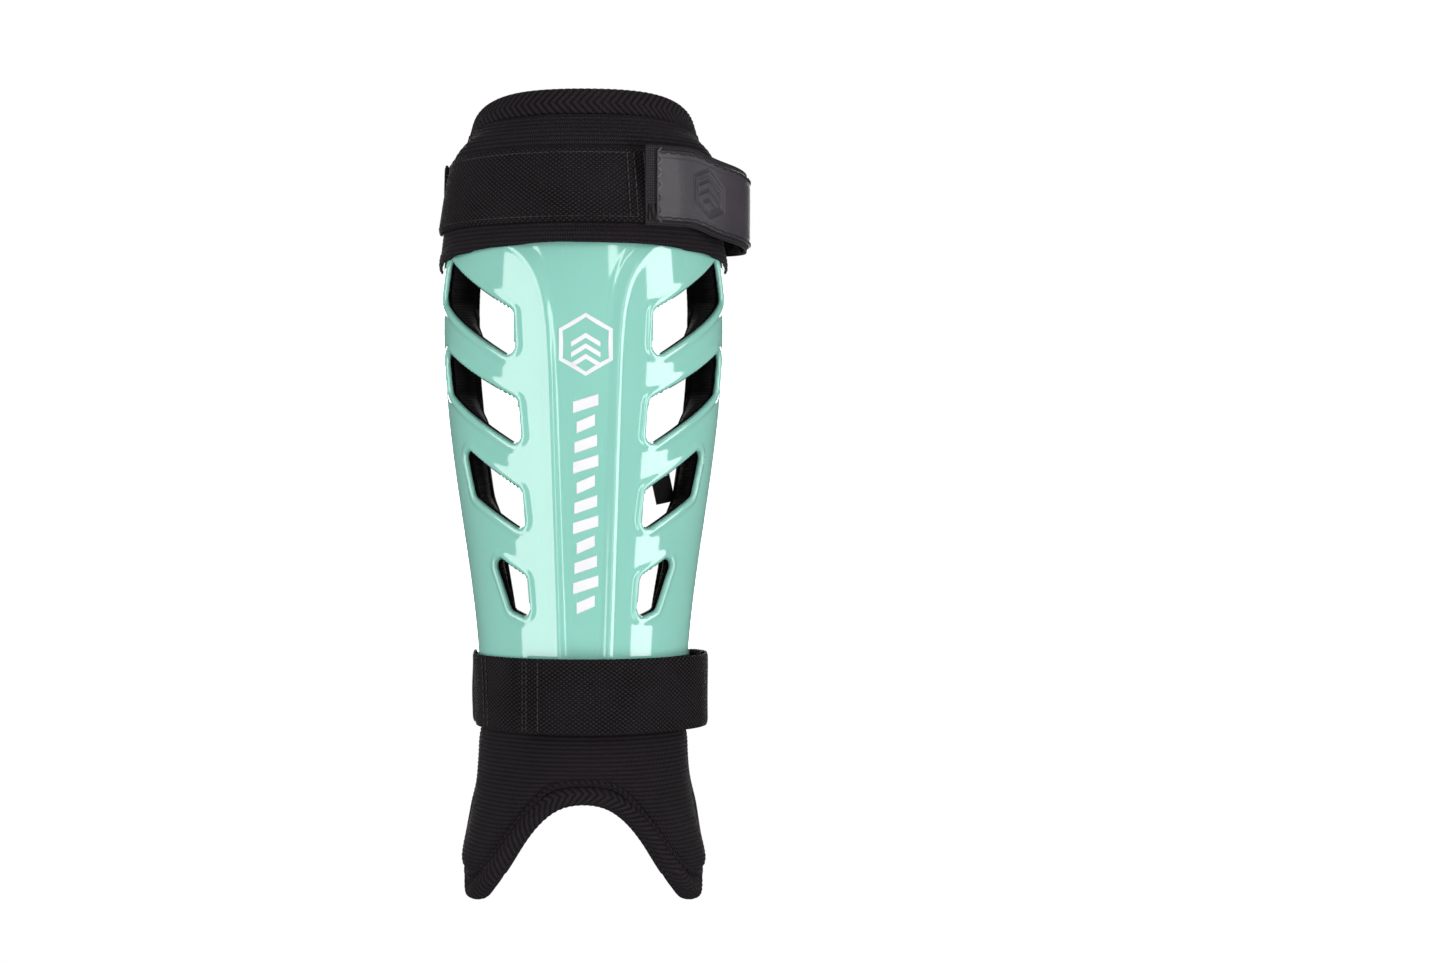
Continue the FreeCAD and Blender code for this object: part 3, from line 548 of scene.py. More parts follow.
def makePrint():
    # a six-sided ring with three nested chevrons, and a column of slanted bars
    phi = np.linspace(0, 2 * math.pi, 121)
    sector = np.mod(phi, math.pi / 3) - math.pi / 6
    reach = marks["emblemRadius"] * math.cos(math.pi / 6) / np.cos(sector)
    centre = np.array([marks["middle"], marks["emblemLevel"]])
    ray = np.stack([np.sin(phi), np.cos(phi)], -1)
    printStrip("print_ring", centre + ray * reach[:, None], centre + ray * (reach - marks["ring"])[:, None])
    for k, level in enumerate(marks["chevrons"]):
        t = np.linspace(-1, 1, 41)
        arm = np.stack([t * marks["chevronHalf"], level - np.abs(t) * marks["chevronDrop"]], -1)
        printStrip(f"print_chevron_{k + 1}", centre + arm, centre + arm - [0, marks["chevronTall"]])
    span = (marks["barHigh"] - marks["barLow"]) / marks["bars"]
    for k in range(marks["bars"]):
        t = np.linspace(-1, 1, 21)
        half = marks["barHalf"] * marks["barShares"][k % 3]
        level = marks["barHigh"] - (k + 0.5) * span + t * marks["slant"] / 2
        row = np.stack([marks["middle"] + t * half, level + marks["barTall"] / 2], -1)
        printStrip(f"print_bar_{k + 1:02d}", row, row - [0, marks["barTall"]])


makePrint()

# The liner's offsets are from the form, and its steep turn is where its openings stop being cut straight back
liner = {"low": 85.2, "outer": -2.7, "wall": 10.4, "inset": -0.3, "steep": 64.0, "columns": 196, "rows": 230,
         "shapedFrom": 300, "topGap": 1.2, "uneven": 0.25, "edgeRoll": 0.9, "edgeWidth": 2.2, "quilt": 2.0,
         "quiltPitch": 33.0, "seam": 4.0, "fill": 0.7}


def shapeTop(turn, z):
    # stretches the last 30 mm of a wall so that it ends on the rounded top edge
    start = liner["shapedFrom"]
    share = np.clip((z - start) / (form["height"] - start), 0, 1)
    return np.where(z > start, start + share * (topLevel(turn) - liner["topGap"] - start), z)


def innerTurn(turn, z, offset):
    # the turn on a deeper face that lies straight behind a turn on the liner's outer face; past the steep part the
    # rest is shared out evenly, so that both faces end together
    ratio = (halfWidth(z) + liner["outer"]) / (halfWidth(z) + offset)
    size = np.abs(turn)
    limit = np.degrees(np.arcsin(math.sin(math.radians(liner["steep"])) / ratio))
    straight = np.degrees(np.arcsin(np.clip(ratio * np.sin(np.radians(np.minimum(size, limit))), 0, 1)))
    rest = liner["steep"] + (size - limit) / (lastTurn - 1 - limit) * (lastTurn - 1 - liner["steep"])
    return np.sign(turn) * np.where(size < limit, straight, rest)


def linerLayer(name, u, z, quads, tris, outer, inner, soft):
    # a closed sheet between two offsets on an open grid: two faces, and a wall along every free edge
    front = formPoint(innerTurn(u, z, outer), z, outer + soft[0]).reshape(-1, 3)
    rear = formPoint(innerTurn(u, z, inner), z, inner + soft[1]).reshape(-1, 3)
    lengths = np.stack([u * 0.9, z], -1).reshape(-1, 2)
    front, q, t, rear, lengths = dropUnused(front, quads, tris, rear, lengths)
    n = len(front)
    edges = np.concatenate([np.stack([q[:, k], q[:, (k + 1) % 4]], -1) for k in range(4)]
                           + [np.stack([t[:, k], t[:, (k + 1) % 3]], -1) for k in range(3)])
    _, first, counts = np.unique(np.sort(edges, axis=1), axis=0, return_index=True, return_counts=True)
    free = edges[first[counts == 1]]
    walls = np.stack([free[:, 1], free[:, 0], free[:, 0] + n, free[:, 1] + n], -1)
    quadsAll = np.concatenate([q, q[:, ::-1] + n, walls])
    return makeMesh(name, np.concatenate([front, rear]), quadsAll, np.concatenate([t, t[:, ::-1] + n]),
                    np.concatenate([lengths, lengths]), finishes["lining"], closed=True)


def makeLiner():
    # foam wall, and inside it a lining that swells between sewn lines
    turns = np.linspace(-lastTurn + 1, lastTurn - 1, liner["columns"])
    levels = np.linspace(liner["low"], form["height"], liner["rows"])
    u, v, quads, tris, d = openGrid(turns, levels, lambda t, z: ventDistance(t, z, liner["inset"]))
    z = shapeTop(u, v)
    edge = np.clip(d, 0, None)
    soft = liner["uneven"] * softNoise(u, z, 46.0, 3)
    soft = soft - liner["edgeRoll"] * np.clip(1 - edge / liner["edgeWidth"], 0, 1) ** 2
    depth = liner["outer"] - liner["wall"]
    foam = linerLayer("liner_pad", u, z, quads, tris, liner["outer"], depth, (soft, 0 * soft))
    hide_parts("liner_foam")
    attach(foam, "guard")
    seam = np.abs(np.mod(u / liner["quiltPitch"] + 0.5, 1.0) - 0.5) * liner["quiltPitch"]
    swell = liner["quilt"] * (1 - np.exp(-(seam / liner["seam"]) ** 2)) * step(0.0, 5.0, edge)
    swell = swell * step(10.0, 18.0, topLevel(u) - z) * step(8.0, 16.0, lastTurn - np.abs(u))  # flat under the tapes
    lining = linerLayer("inner_lining", u, z, quads, tris, depth - 0.1, depth - 0.8, (-0.5 * swell, -0.9 * swell))
    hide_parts("liner_lining")
    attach(lining, "guard")


makeLiner()
print("liner made")

# The ankle end's outlines are (turn, level) along the lower edges of the pad and of the knit over it
ankle = {"pad": [(0, 43.4), (15, 41.4), (28.3, 35.0), (40.7, 24.4), (53.6, 11.1), (65, 4.4), (76, 0.8), (84, 2.4),
                 (90, 6.5), (95, 12.5), (100, 24.0)],
         "cover": [(0, 52.9), (12, 52.2), (18.8, 50.4), (26.6, 45.3), (40, 33.1), (54.8, 18.8), (68, 13.2),
                   (80, 11.6),
                   (90, 12.6), (95, 19.0), (100, 31.0)],
         "coverTop": 88.0, "coverOffset": -0.35, "coverFill": 0.6, "swell": (1.1, 11, 9.0), "tuck": (3.0, 7.5),
         "wall": 1.4, "rib": 1.75, "ribHeight": 0.28, "strapDip": (66, 76),
         "padTop": 84.6, "padOffset": -2.9, "padLift": 2.4, "padFill": 0.7, "edgeThick": 7.2, "leastThick": 5.7,
         "thick": 10.0, "taper": 15.0, "voxel": 3.0, "pressure": 3.0, "cap": 1.4, "stiffness": 40, "frames": 16}


def edgeLevel(turn, outline):
    # height of a layer's lower edge at each turn, the same on both sides
    line = smoothCurve([(-t, z) for t, z in outline[:0:-1]] + list(outline), 500)
    return np.interp(turn, line[:, 0], line[:, 1])


def makeAnkleCover():
    # ribbed knit over the ankle pad, pulled in along its lower edge and under the strap
    u, s = np.meshgrid(np.linspace(-lastTurn + 0.6, lastTurn - 0.6, 260), np.linspace(0, 1, 250))
    low = edgeLevel(u, ankle["cover"])
    z = low + (ankle["coverTop"] - low) * s
    above = z - low
    high, middle, width = ankle["swell"]
    pull, tall = ankle["tuck"]
    lift = ankle["coverOffset"] + high * bump(above - middle, width) - pull * np.clip(1 - above / tall, 0, 1) ** 2
    lift = lift + 0.3 * softNoise(u, z, 40.0, 11) + ankle["ribHeight"] * np.abs(np.sin(math.pi * z / ankle["rib"]))
    lift = np.where(z > ankle["strapDip"][0], lift - 1.0 * step(*ankle["strapDip"], z), lift)
    uv = np.stack([u * 0.85, z], -1)
    cover = makeMesh("ankle_knit", formPoint(u, z, lift), gridQuads(*u.shape), uv=uv, material=finishes["knit"])
    thicken(cover, ankle["wall"])
    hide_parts("ankle_cover")
    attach(cover, "guard")


def makeAnklePad():
    # the pad that the knit covers: a closed slab, swelled by cloth pressure, with its inner face showing
    u, s = np.meshgrid(np.linspace(-lastTurn + 2.0, lastTurn - 2.0, 90), np.linspace(0, 1, 44))
    low = edgeLevel(u, ankle["pad"]) + ankle["padLift"]
    z = low + (ankle["padTop"] - low) * s
    spare = ankle["thick"] - ankle["edgeThick"]
    thick = ankle["edgeThick"] + spare * step(0.0, ankle["taper"], z - low)
    thick = thick - spare * (1 - step(0.0, ankle["taper"], lastTurn - 2 - np.abs(u)))
    front = formPoint(u, z, ankle["padOffset"])
    rear = formPoint(u, z, ankle["padOffset"] - np.maximum(thick, ankle["leastThick"]))
    rows, cols = u.shape
    base = rows * cols
    index = np.arange(base).reshape(rows, cols)
    rim = np.concatenate([index[0, :-1], index[:-1, -1], index[-1, :0:-1], index[:0:-1, 0]])
    nextRim = np.roll(rim, -1)
    walls = np.stack([rim, rim + base, nextRim + base, nextRim], -1)
    quads = np.concatenate([gridQuads(rows, cols), gridQuads(rows, cols)[:, ::-1] + base, walls])
    points = np.concatenate([front.reshape(-1, 3), rear.reshape(-1, 3)])
    pad = makeMesh("ankle_pad", points, quads, material=finishes["padCloth"], closed=True)
    swellPad(pad)
    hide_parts("ankle_foam", "ankle_lining")
    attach(pad, "guard")


def swellPad(obj):
    # remesh, blow up gently with cloth pressure, and keep each point within the cap of where it began
    scene = bpy.context.scene
    bpy.ops.object.select_all(action="DESELECT")
    obj.select_set(True)
    bpy.context.view_layer.objects.active = obj
    remesh = obj.modifiers.new("remesh", "REMESH")
    remesh.mode = "VOXEL"
    remesh.voxel_size = ankle["voxel"] * mm
    bpy.ops.object.modifier_apply(modifier=remesh.name)
    start = meshPoints(obj)
    blown = obj.modifiers.new("cloth", "CLOTH")
    blown.settings.use_pressure = True
    blown.settings.uniform_pressure_force = ankle["pressure"]
    blown.settings.tension_stiffness = blown.settings.compression_stiffness = ankle["stiffness"]
    blown.settings.effector_weights.gravity = 0
    blown.collision_settings.use_collision = False
    blown.point_cache.frame_start, blown.point_cache.frame_end = 1, ankle["frames"]
    for number in range(1, ankle["frames"] + 1):
        scene.frame_set(number)
    bpy.ops.object.modifier_apply(modifier=blown.name)
    scene.frame_set(1)
    move = meshPoints(obj) - start
    size = np.linalg.norm(move, axis=1, keepdims=True)
    move *= np.minimum(1, ankle["cap"] * mm / np.clip(size, 1e-9, None))
    obj.data.vertices.foreach_set("co", (start + move).ravel())
    obj.data.polygons.foreach_set("use_smooth", np.ones(len(obj.data.polygons), bool))
    smooth = obj.modifiers.new("smooth", "SUBSURF")
    smooth.levels = smooth.render_levels = 1


makeAnkleCover()
makeAnklePad()
print("ankle made")

# Edge tapes: each one's U is given by where its middle lies from the form, half its width, the length of its legs
# and the rise of its round back
tape = {"wall": 0.9, "pitch": 2.6, "rib": 0.32, "lean": 0.75, "topRise": 0.6, "archRise": 2.2, "archTop": 85.0,
        "sideTurn": 97.4, "sideLow": 86.0, "sideRise": 2.6,
        "top": {"middle": -8.2, "half": 6.2, "leg": 9.4, "bulge": 3.4},
        "side": {"middle": -8.2, "half": 6.9, "leg": 7.5, "bulge": 2.8},
        "arch": {"middle": -6.0, "half": 4.5, "leg": 5.2, "bulge": 2.4, "folded": False, "pinched": 0.34}}


def edgeTape(name, turns, levels, node, middle, half, leg, bulge, folded=True, pinched=0.0):
    # tape folded over an edge: at each place of the path a U of two legs and a round back, with slanted ribs
    place = formPoint(turns, levels, middle)
    along = unit(np.gradient(place, axis=0))
    out = formNormal(turns, levels)
    into = unit(np.cross(out, along))
    out = unit(np.cross(along, into))
    run = runAlong(place)
    arc = np.linspace(-math.pi / 2, math.pi / 2, 17)
    legs = np.linspace(1, 0, 9)[:-1]
    pinch = 1 - pinched * legs ** 2
    sides = np.concatenate([-pinch, np.sin(arc), pinch[::-1]]) * half
    depth = np.concatenate([legs * leg, -np.cos(arc) * bulge, legs[::-1] * leg])
    width = np.concatenate([[0], np.cumsum(np.hypot(np.diff(sides), np.diff(depth)))])
    width = width - width[-1] / 2
    s, w = run[:, None], width[None, :]
    fromMiddle = np.abs(w) - (half + leg / 2 + bulge * 0.4)
    fold = np.abs(fromMiddle) if folded else fromMiddle  # herringbone, or ribs that all lean one way
    rib = tape["rib"] * np.abs(np.sin(math.pi * (s + tape["lean"] * fold) / tape["pitch"]))
    rib = rib * (1 - step(half + leg * 0.75, half + leg + bulge, np.abs(w)))
    slopes = np.gradient(depth), np.gradient(sides)
    length = np.hypot(*slopes)
    normal = -sum(axis[:, None, :] * (slope / length)[None, :, None] for axis, slope in zip((out, into), slopes))
    points = place[:, None, :] + out[:, None, :] * sides[None, :, None] + into[:, None, :] * depth[None, :, None]
    away = points - place[:, None, :] - into[:, None, :] * (leg * 0.5)
    facing = np.sign((normal * away).sum(-1, keepdims=True).mean())
    points = points + normal * facing * rib[..., None]
    uv = np.stack(np.broadcast_arrays(s, fromMiddle), -1)
    rows, cols = points.shape[:2]
    obj = makeMesh(name, points, gridQuads(rows, cols), uv=uv, material=finishes["tape"])
    back = obj.data.polygons[(rows // 2) * (cols - 1) + (cols - 1) // 2]
    if np.dot(np.array(back.normal), into[rows // 2]) > 0:
        obj.data.flip_normals()
    thicken(obj, tape["wall"])
    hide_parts(node)
    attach(obj, "guard")


def makeTapes():
    turns = np.linspace(lastTurn, -lastTurn, 340)
    edgeTape("top_rim_tape", turns, topLevel(turns) + tape["topRise"], "top_binding", **tape["top"])
    for side, word in ((-1, "left"), (1, "right")):
        levels = np.linspace(tape["sideLow"], topLevel(lastTurn) + tape["sideRise"], 300)[::side]
        edgeTape(f"side_tape_{word}", np.full(300, side * tape["sideTurn"]), levels, f"side_binding_{word}",
                 **tape["side"])
    t = np.linspace(-lastTurn, lastTurn, 2400)  # the arch's path runs down one rear edge, along the pad and up again
    level = edgeLevel(t, ankle["pad"]) + tape["archRise"]
    rise = np.linspace(tape["archTop"], level[0], 260)[:-1]
    t = np.concatenate([np.full(259, -lastTurn), t, np.full(259, lastTurn)])
    level = np.concatenate([rise, level, rise[::-1]])
    kernel = np.hanning(61) / np.hanning(61).sum()
    t, level = (np.convolve(np.pad(v, 30, "edge"), kernel, "valid") for v in (t, level))
    run = runAlong(formPoint(t, level, -5.4))
    even = np.linspace(0, run[-1], 640)
    t, level = np.interp(even, run, t), np.interp(even, run, level)
    edgeTape("arch_rim_tape", t, level, "arch_binding", **tape["arch"])


makeTapes()

piping = {"lastTurn": 93, "drop": 0.3, "offset": -2.2, "radius": 1.15, "sides": 12}


def makePiping():
    # a round cord along the knit's lower edge, closed at both ends by rings that shrink to nothing
    t = np.linspace(-piping["lastTurn"], piping["lastTurn"], 300)
    centre = formPoint(t, edgeLevel(t, ankle["cover"]) - piping["drop"], piping["offset"])
    radius, sides = piping["radius"], piping["sides"]
    along = unit(np.gradient(centre, axis=0))
    right = unit(np.cross(along, [0.0, 0.0, 1.0]))
    up = np.cross(right, along)
    phi = np.linspace(0, 2 * math.pi, sides, endpoint=False)
    size = np.full(len(centre), radius)
    size[[0, -1]] = radius * 0.05
    ring = right[:, None] * np.cos(phi)[None, :, None] + up[:, None] * np.sin(phi)[None, :, None]
    points = centre[:, None] + ring * size[:, None, None]
    uv = np.stack(np.broadcast_arrays(runAlong(centre)[:, None], phi[None, :] * radius), -1)
    index = np.arange(len(centre) * sides).reshape(len(centre), sides)
    fan = np.arange(1, sides - 1)
    caps = np.concatenate([np.stack([np.full_like(fan, index[e][0]), index[e][fan], index[e][fan + 1]], -1)[:, ::o]
                           for e, o in ((0, 1), (-1, -1))])
    quads = gridQuads(len(centre), sides, wrap=True)[:, ::-1]
    cord = makeMesh("arch_cord", points, quads, caps, uv, finishes["tape"], closed=True)
    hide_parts("arch_piping")
    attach(cord, "guard")


makePiping()
print("tapes made")

sleeve = {"hemSide": 264.0, "hemRise": 6.5, "hem": 5.5, "topGap": 7.2, "rib": 1.7, "ribHeight": 0.22, "wall": 1.0,
          "offset": 1.6, "hemThick": 0.45, "hemSeam": (0.25, 0.8), "topTuck": (2.6, 7.0), "topRoll": (1.7, 9.5, 4.5),
          "stripLow": 302.0, "stripTall": 8.0, "stripWall": 1.2}


def hemLevel(turn):
    # the hem's lower edge rises towards the shin in proportion to depth
    y = formPoint(turn, sleeve["hemSide"])[..., 1]
    return sleeve["hemSide"] - sleeve["hemRise"] * y / (form["calfHalfWidth"] * form["depthRatio"])


def makeSleeve():
    # ribbed knit: a thicker hem with a seam above it, a roll near the top, and the top edge tucked in
    u, s = np.meshgrid(np.linspace(-lastTurn, lastTurn, 240), np.linspace(0, 1, 190))
    low = hemLevel(u)
    top = topLevel(u) - sleeve["topGap"]
    z = low + (top - low) * s
    above, below = z - low, top - z
    lift = sleeve["offset"] + sleeve["hemThick"] * (1 - step(sleeve["hem"] - 0.6, sleeve["hem"] + 0.6, above))
    lift = lift - sleeve["hemSeam"][0] * bump(above - sleeve["hem"], sleeve["hemSeam"][1])
    lift = lift - sleeve["topTuck"][0] * (1 - step(0.0, sleeve["topTuck"][1], below))
    lift = lift + sleeve["topRoll"][0] * bump(below - sleeve["topRoll"][1], sleeve["topRoll"][2])
    lift = lift + 0.35 * softNoise(u * 0.6, z, 34.0, 21) - 0.5 * (1 - step(0, 1.2, above))
    rows = math.pi * (z + 0.4 * softNoise(u, z, 90, 5)) / sleeve["rib"]
    points = formPoint(u, z, lift + sleeve["ribHeight"] * np.abs(np.sin(rows)))
    obj = makeMesh("knit_sleeve", points, gridQuads(*u.shape), uv=np.stack([u, z], -1), material=finishes["knit"])
    thicken(obj, sleeve["wall"])
    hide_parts("top_sleeve", "sleeve_hem")
    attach(obj, "guard")
    u, s = np.meshgrid(np.linspace(-lastTurn + 3, lastTurn - 3, 90), np.linspace(0, 1, 8))
    points = formPoint(u, sleeve["stripLow"] + sleeve["stripTall"] * s, -sleeve["stripWall"] * (1 + s))
    pad = makeMesh("top_foam_strip", points, gridQuads(*u.shape), material=finishes["foam"])
    thicken(pad, sleeve["stripWall"])
    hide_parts("top_edge_pad")
    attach(pad, "guard")


makeSleeve()
print("sleeve made")

# Straps: the free routes are (x, y) seen from above, and each drop is how far that point of the band hangs down
strap = {"width": 30.0, "wall": 1.8, "slack": 0.3, "hook": 0.9, "onSleeve": 1.8, "topLow": 278.5, "lowerLow": 73.0,
         "seamTurn": -96.0, "topEnd": 78, "lowerEnd": 74,
         "topFree": [(54.0, -31.0), (62.3, -19.5), (67.2, -6.5), (67.9, 5.1)],
         "topFreeDrop": [3.2, 4.8, 6.0, 6.6],
         "topRear": [(67.5, 8.9), (62.0, 25.0), (47.0, 42.5), (23.0, 53.5), (-6.0, 55.5), (-33.0, 47.5),
                     (-51.0, 31.5), (-57.6, 13.9)],
         "topRearDrop": [6.6, 5.8, 4.6, 3.2, 1.8, 0.8, 0.2, 0.0],
         "topTail": [(66.9, 12.5, -6.4), (64.6, 19.5, -6.1), (60.6, 27.0, -5.7)],
         "lowerFree": [(43.2, -22.5), (48.6, -11.5), (50.6, 1.1)],
         "lowerRear": [(50.5, 4.9), (47.2, 18.0), (36.0, 32.5), (16.0, 41.0), (-8.0, 41.5), (-29.0, 34.0),
                       (-42.5, 22.5), (-46.2, 13.9)],
         "lowerTail": [(50.3, 8.5, 0.0), (49.2, 14.0, 0.0), (46.6, 20.0, 0.0)]}
topIn = strap["onSleeve"] + strap["slack"]  # inner and outer face of each front elastic, then its closing end's line
topOut = topIn + strap["wall"]
topTabLine = topOut + strap["slack"] + strap["hook"] + strap["slack"]
lowerOut = strap["slack"] + strap["wall"]
lowerEndLine = lowerOut + strap["slack"] + strap["hook"] + strap["slack"]


def onForm(turns, offset, level):
    return [(x, y, 0.0) for x, y, _ in formPoint(np.array(turns, float), level, offset)]


def free(places, drops=None):
    return [(x, y, -d) for (x, y), d in zip(places, drops or [0.0] * len(places))]


def band(name, route, low, high, wall, finish, slot, *nodes, outer=0.0, edge=0.5, ripple=0.25, seed=1, relief=None,
         count=240, fine=26):
    # a rounded rectangle carried along a route seen from above; outer is where its inner face lies from the route
    centre = smoothCurve(route, count)
    along = np.gradient(centre, axis=0)
    along[:, 2] = 0
    along = unit(along)
    across = np.stack([along[:, 1], -along[:, 0], np.zeros(len(along))], -1)
    run = runAlong(centre)
    h = np.linspace(low, high, fine)
    dip = edge * (1 - np.clip(np.minimum(h - low, high - h) / 1.2, 0, 1)) ** 2
    level = np.concatenate([h, np.linspace(high, low, fine)])
    face = np.concatenate([np.ones(fine), np.zeros(fine)])
    waves = ripple * softNoise(run[:, None], level[None, :], 38.0, seed)
    depth = np.concatenate([wall - dip, dip])[None, :] + waves
    if relief is not None:
        depth = depth + relief(run[:, None], level[None, :]) * face[None, :]
    selvedge = 0.16 * (bump(level - low - 1.5, 0.5) + bump(high - level - 1.5, 0.5)) * face
    depth = depth - selvedge[None, :]
    points = centre[:, None] + across[:, None] * (outer + depth)[..., None]
    points[..., 2] = level[None, :] + centre[:, None, 2]
    sides = 2 * fine
    index = np.arange(count * sides).reshape(count, sides)
    k = np.arange(fine - 1)
    around = [k, k + 1, sides - 2 - k, sides - 1 - k]  # each end is closed by quads from face to face
    caps = [np.stack([index[end][j] for j in around], -1)[:, ::1 if end else -1] for end in (0, -1)]
    quads = np.concatenate([gridQuads(count, sides, wrap=True), *caps])
    uv = np.stack(np.broadcast_arrays(run[:, None], level[None, :]), -1)
    obj = makeMesh(name, points, quads, uv=uv, material=finishes[finish], closed=True)
    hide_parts(*nodes)
    return obj, centre, across, run


def elastic(name, route, low, *nodes, **more):
    return band(name, route, low, low + strap["width"], strap["wall"], "elastic", "elastic_webbing", *nodes, **more)


def stitchRow(name, places, directions, finish="thread", length=2.3, radius=0.32):
    # one short tapered thread per place: five rings of six sides, lying along its direction
    places, directions = np.asarray(places, float), unit(np.asarray(directions, float))
    right = unit(np.cross(directions, np.array([0.3, 0.9, 0.2])))
    up = np.cross(right, directions)
    s = np.array([-0.5, -0.4, 0.0, 0.4, 0.5])
    size = np.array([0.25, 0.85, 1.0, 0.85, 0.25]) * radius
    phi = np.linspace(0, 2 * math.pi, 6, endpoint=False)[None, None, :, None]
    ring = right[:, None, None] * np.cos(phi) + up[:, None, None] * np.sin(phi)
    points = (places[:, None, None] + directions[:, None, None] * (s * length)[None, :, None, None]
              + ring * size[None, :, None, None])
    one = gridQuads(5, 6, wrap=True)
    ends = np.array([[0, 1, 2, 3], [3, 4, 5, 0], [27, 26, 25, 24], [24, 29, 28, 27]])
    each = np.concatenate([one[:, ::-1], ends[:, ::-1]])
    quads = (each[None] + (np.arange(len(places)) * 30)[:, None, None]).reshape(-1, 4)
    return makeMesh(name, points, quads, material=finishes[finish], closed=True)


def rowOnForm(turns, level, offset):
    turns = np.asarray(turns, float)
    p = formPoint(turns, level, offset)
    return p, formPoint(turns + 0.5, level, offset) - p


def conform(obj):
    # leans a band that was made upright so that it follows the form's width at each height
    co = meshPoints(obj) / mm
    mid = (co[:, 2].max() + co[:, 2].min()) / 2
    change = halfWidth(co[:, 2]) - halfWidth(mid)
    turn = np.clip(np.arctan2(co[:, 0], -co[:, 1]), -math.pi / 2, math.pi / 2)
    co[:, 0] += change * np.sin(turn)
    co[:, 1] -= change * np.cos(turn) * form["depthRatio"]
    obj.data.vertices.foreach_set("co", (co * mm).ravel())
    obj.data.update()


tab = {"low": strap["topLow"] + 1.0, "high": strap["topLow"] + strap["width"] - 1.0, "wall": 1.0, "faceAt": 1.15,
       "backingTurns": [24, 31, 38, 45], "faceTurns": [28.5, 34, 40, 46], "ripple": 0.12, "stitchAt": 2.25,
       "stitchEvery": 9, "stitchLength": 2.6, "emblemAt": 27.0, "emblemRadius": 9.6, "chevrons": (4.0, 0.0, -4.0),
       "pressed": 0.6, "border": 0.22}


def tabEmblem(along, level):
    # a six-sided groove with chevrons pressed into the coated sheet
    x, y = along - tab["emblemAt"], level - (tab["low"] + tab["high"]) / 2
    sector = np.mod(np.arctan2(x, y), math.pi / 3) - math.pi / 6
    reach = np.hypot(x, y) * np.cos(sector) / math.cos(math.pi / 6)
    groove = bump(reach - tab["emblemRadius"], 0.55) + 0.7 * bump(reach - tab["emblemRadius"] + 1.9, 0.4)
    inside = reach < tab["emblemRadius"] - 3
    for k in tab["chevrons"]:
        groove = groove + np.where(inside, bump(y - k + np.abs(x) * 0.6 - 1.5, 0.5), 0)
    edge = np.minimum(level - tab["low"], tab["high"] - level)
    return -tab["pressed"] * np.clip(groove, 0, 1) - tab["border"] * bump(edge - 2.6, 0.5)


def makeTopStrap():
    # front elastic on the sleeve, rear elastic, the woven and coated layers of the tab, and their stitches
    low, high = strap["topLow"], strap["topLow"] + strap["width"]
    mid = (low + high) / 2
    front, *_ = elastic("top_elastic_front", onForm(np.linspace(strap["seamTurn"], strap["topEnd"], 30), topIn, mid),
                        low, "top_strap_front", seed=4, count=300)
    conform(front)
    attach(front, "guard")
    start = formPoint(strap["seamTurn"], mid, topIn + strap["wall"] / 2)
    route = free(strap["topRear"], strap["topRearDrop"]) + [(start[0], start[1], 0.0)]
    rear, *_ = elastic("top_elastic_rear", route, low, "top_strap_rear", outer=-strap["wall"] / 2, seed=5, count=260)
    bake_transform(rear)
    loose = free(strap["topFree"], strap["topFreeDrop"])
    route = onForm(tab["backingTurns"], topTabLine, mid) + loose + strap["topTail"]
    backing, *_ = band("tab_backing", route, low - 1, high + 1, tab["wall"], "backing", "woven_backing",
                       "top_tab_backing", edge=0.25, ripple=tab["ripple"], seed=6)
    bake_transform(backing)
    route = onForm(tab["faceTurns"], topTabLine, mid) + loose + strap["topTail"][:2]
    face, centre, across, _ = band("tab_face", route, tab["low"], tab["high"], tab["wall"], "leather", "tab_leather",
                                   "top_tab_face", outer=tab["faceAt"], edge=0.45, ripple=tab["ripple"], seed=6,
                                   relief=tabEmblem, count=330, fine=110)
    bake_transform(face)
    picks = np.arange(6, 318, tab["stitchEvery"])
    for word, level in (("high", tab["high"] - 1.0), ("low", tab["low"] + 1.0)):
        places = centre[picks] + across[picks] * tab["stitchAt"]
        places[:, 2] = level + centre[picks, 2]
        lean = np.where(np.arange(len(picks)) % 2, 1, -1)[:, None]
        slope = np.gradient(centre, axis=0)[picks] + np.array([0, 0, 0.06]) * lean
        row = stitchRow(f"tab_stitches_{word}", places, slope, length=tab["stitchLength"])
        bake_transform(row)
    tip = centre[3] + across[3] * 2.2
    places = np.stack([np.full(12, tip[0]), np.full(12, tip[1]), np.linspace(low + 1.0, high - 1.0, 12)], -1)
    lean = np.stack([np.where(np.arange(12) % 2, 0.8, -0.8), np.full(12, 0.1), np.ones(12)], -1)
    row = stitchRow("tab_stitches_tip", places, lean, "paleThread", tab["stitchLength"])
    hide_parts("top_tab_stitching")
    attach(row, "top_tab")
    rows = [rowOnForm(np.arange(-88, 20, 2.6), level, topOut - 0.1) for level in (low + 2.0, high - 2.0)]
    for turn in (18.0, 21.0):
        upright = formPoint(turn, np.linspace(low + 3, high - 3, 9), topOut + 0.1)
        rows.append((upright, np.tile([0.0, 0.0, 1.0], (9, 1))))
    row = stitchRow("top_elastic_stitches", *[np.concatenate(part) for part in zip(*rows)])
    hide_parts("top_strap_stitching")
    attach(row, "guard")


def fold(along, level):
    # the lower end is turned back on itself and sewn, which leaves a step and a raised hem
    return 0.55 * (1 - step(9.6, 10.4, along)) - 0.25 * bump(along - 10.2, 0.6)


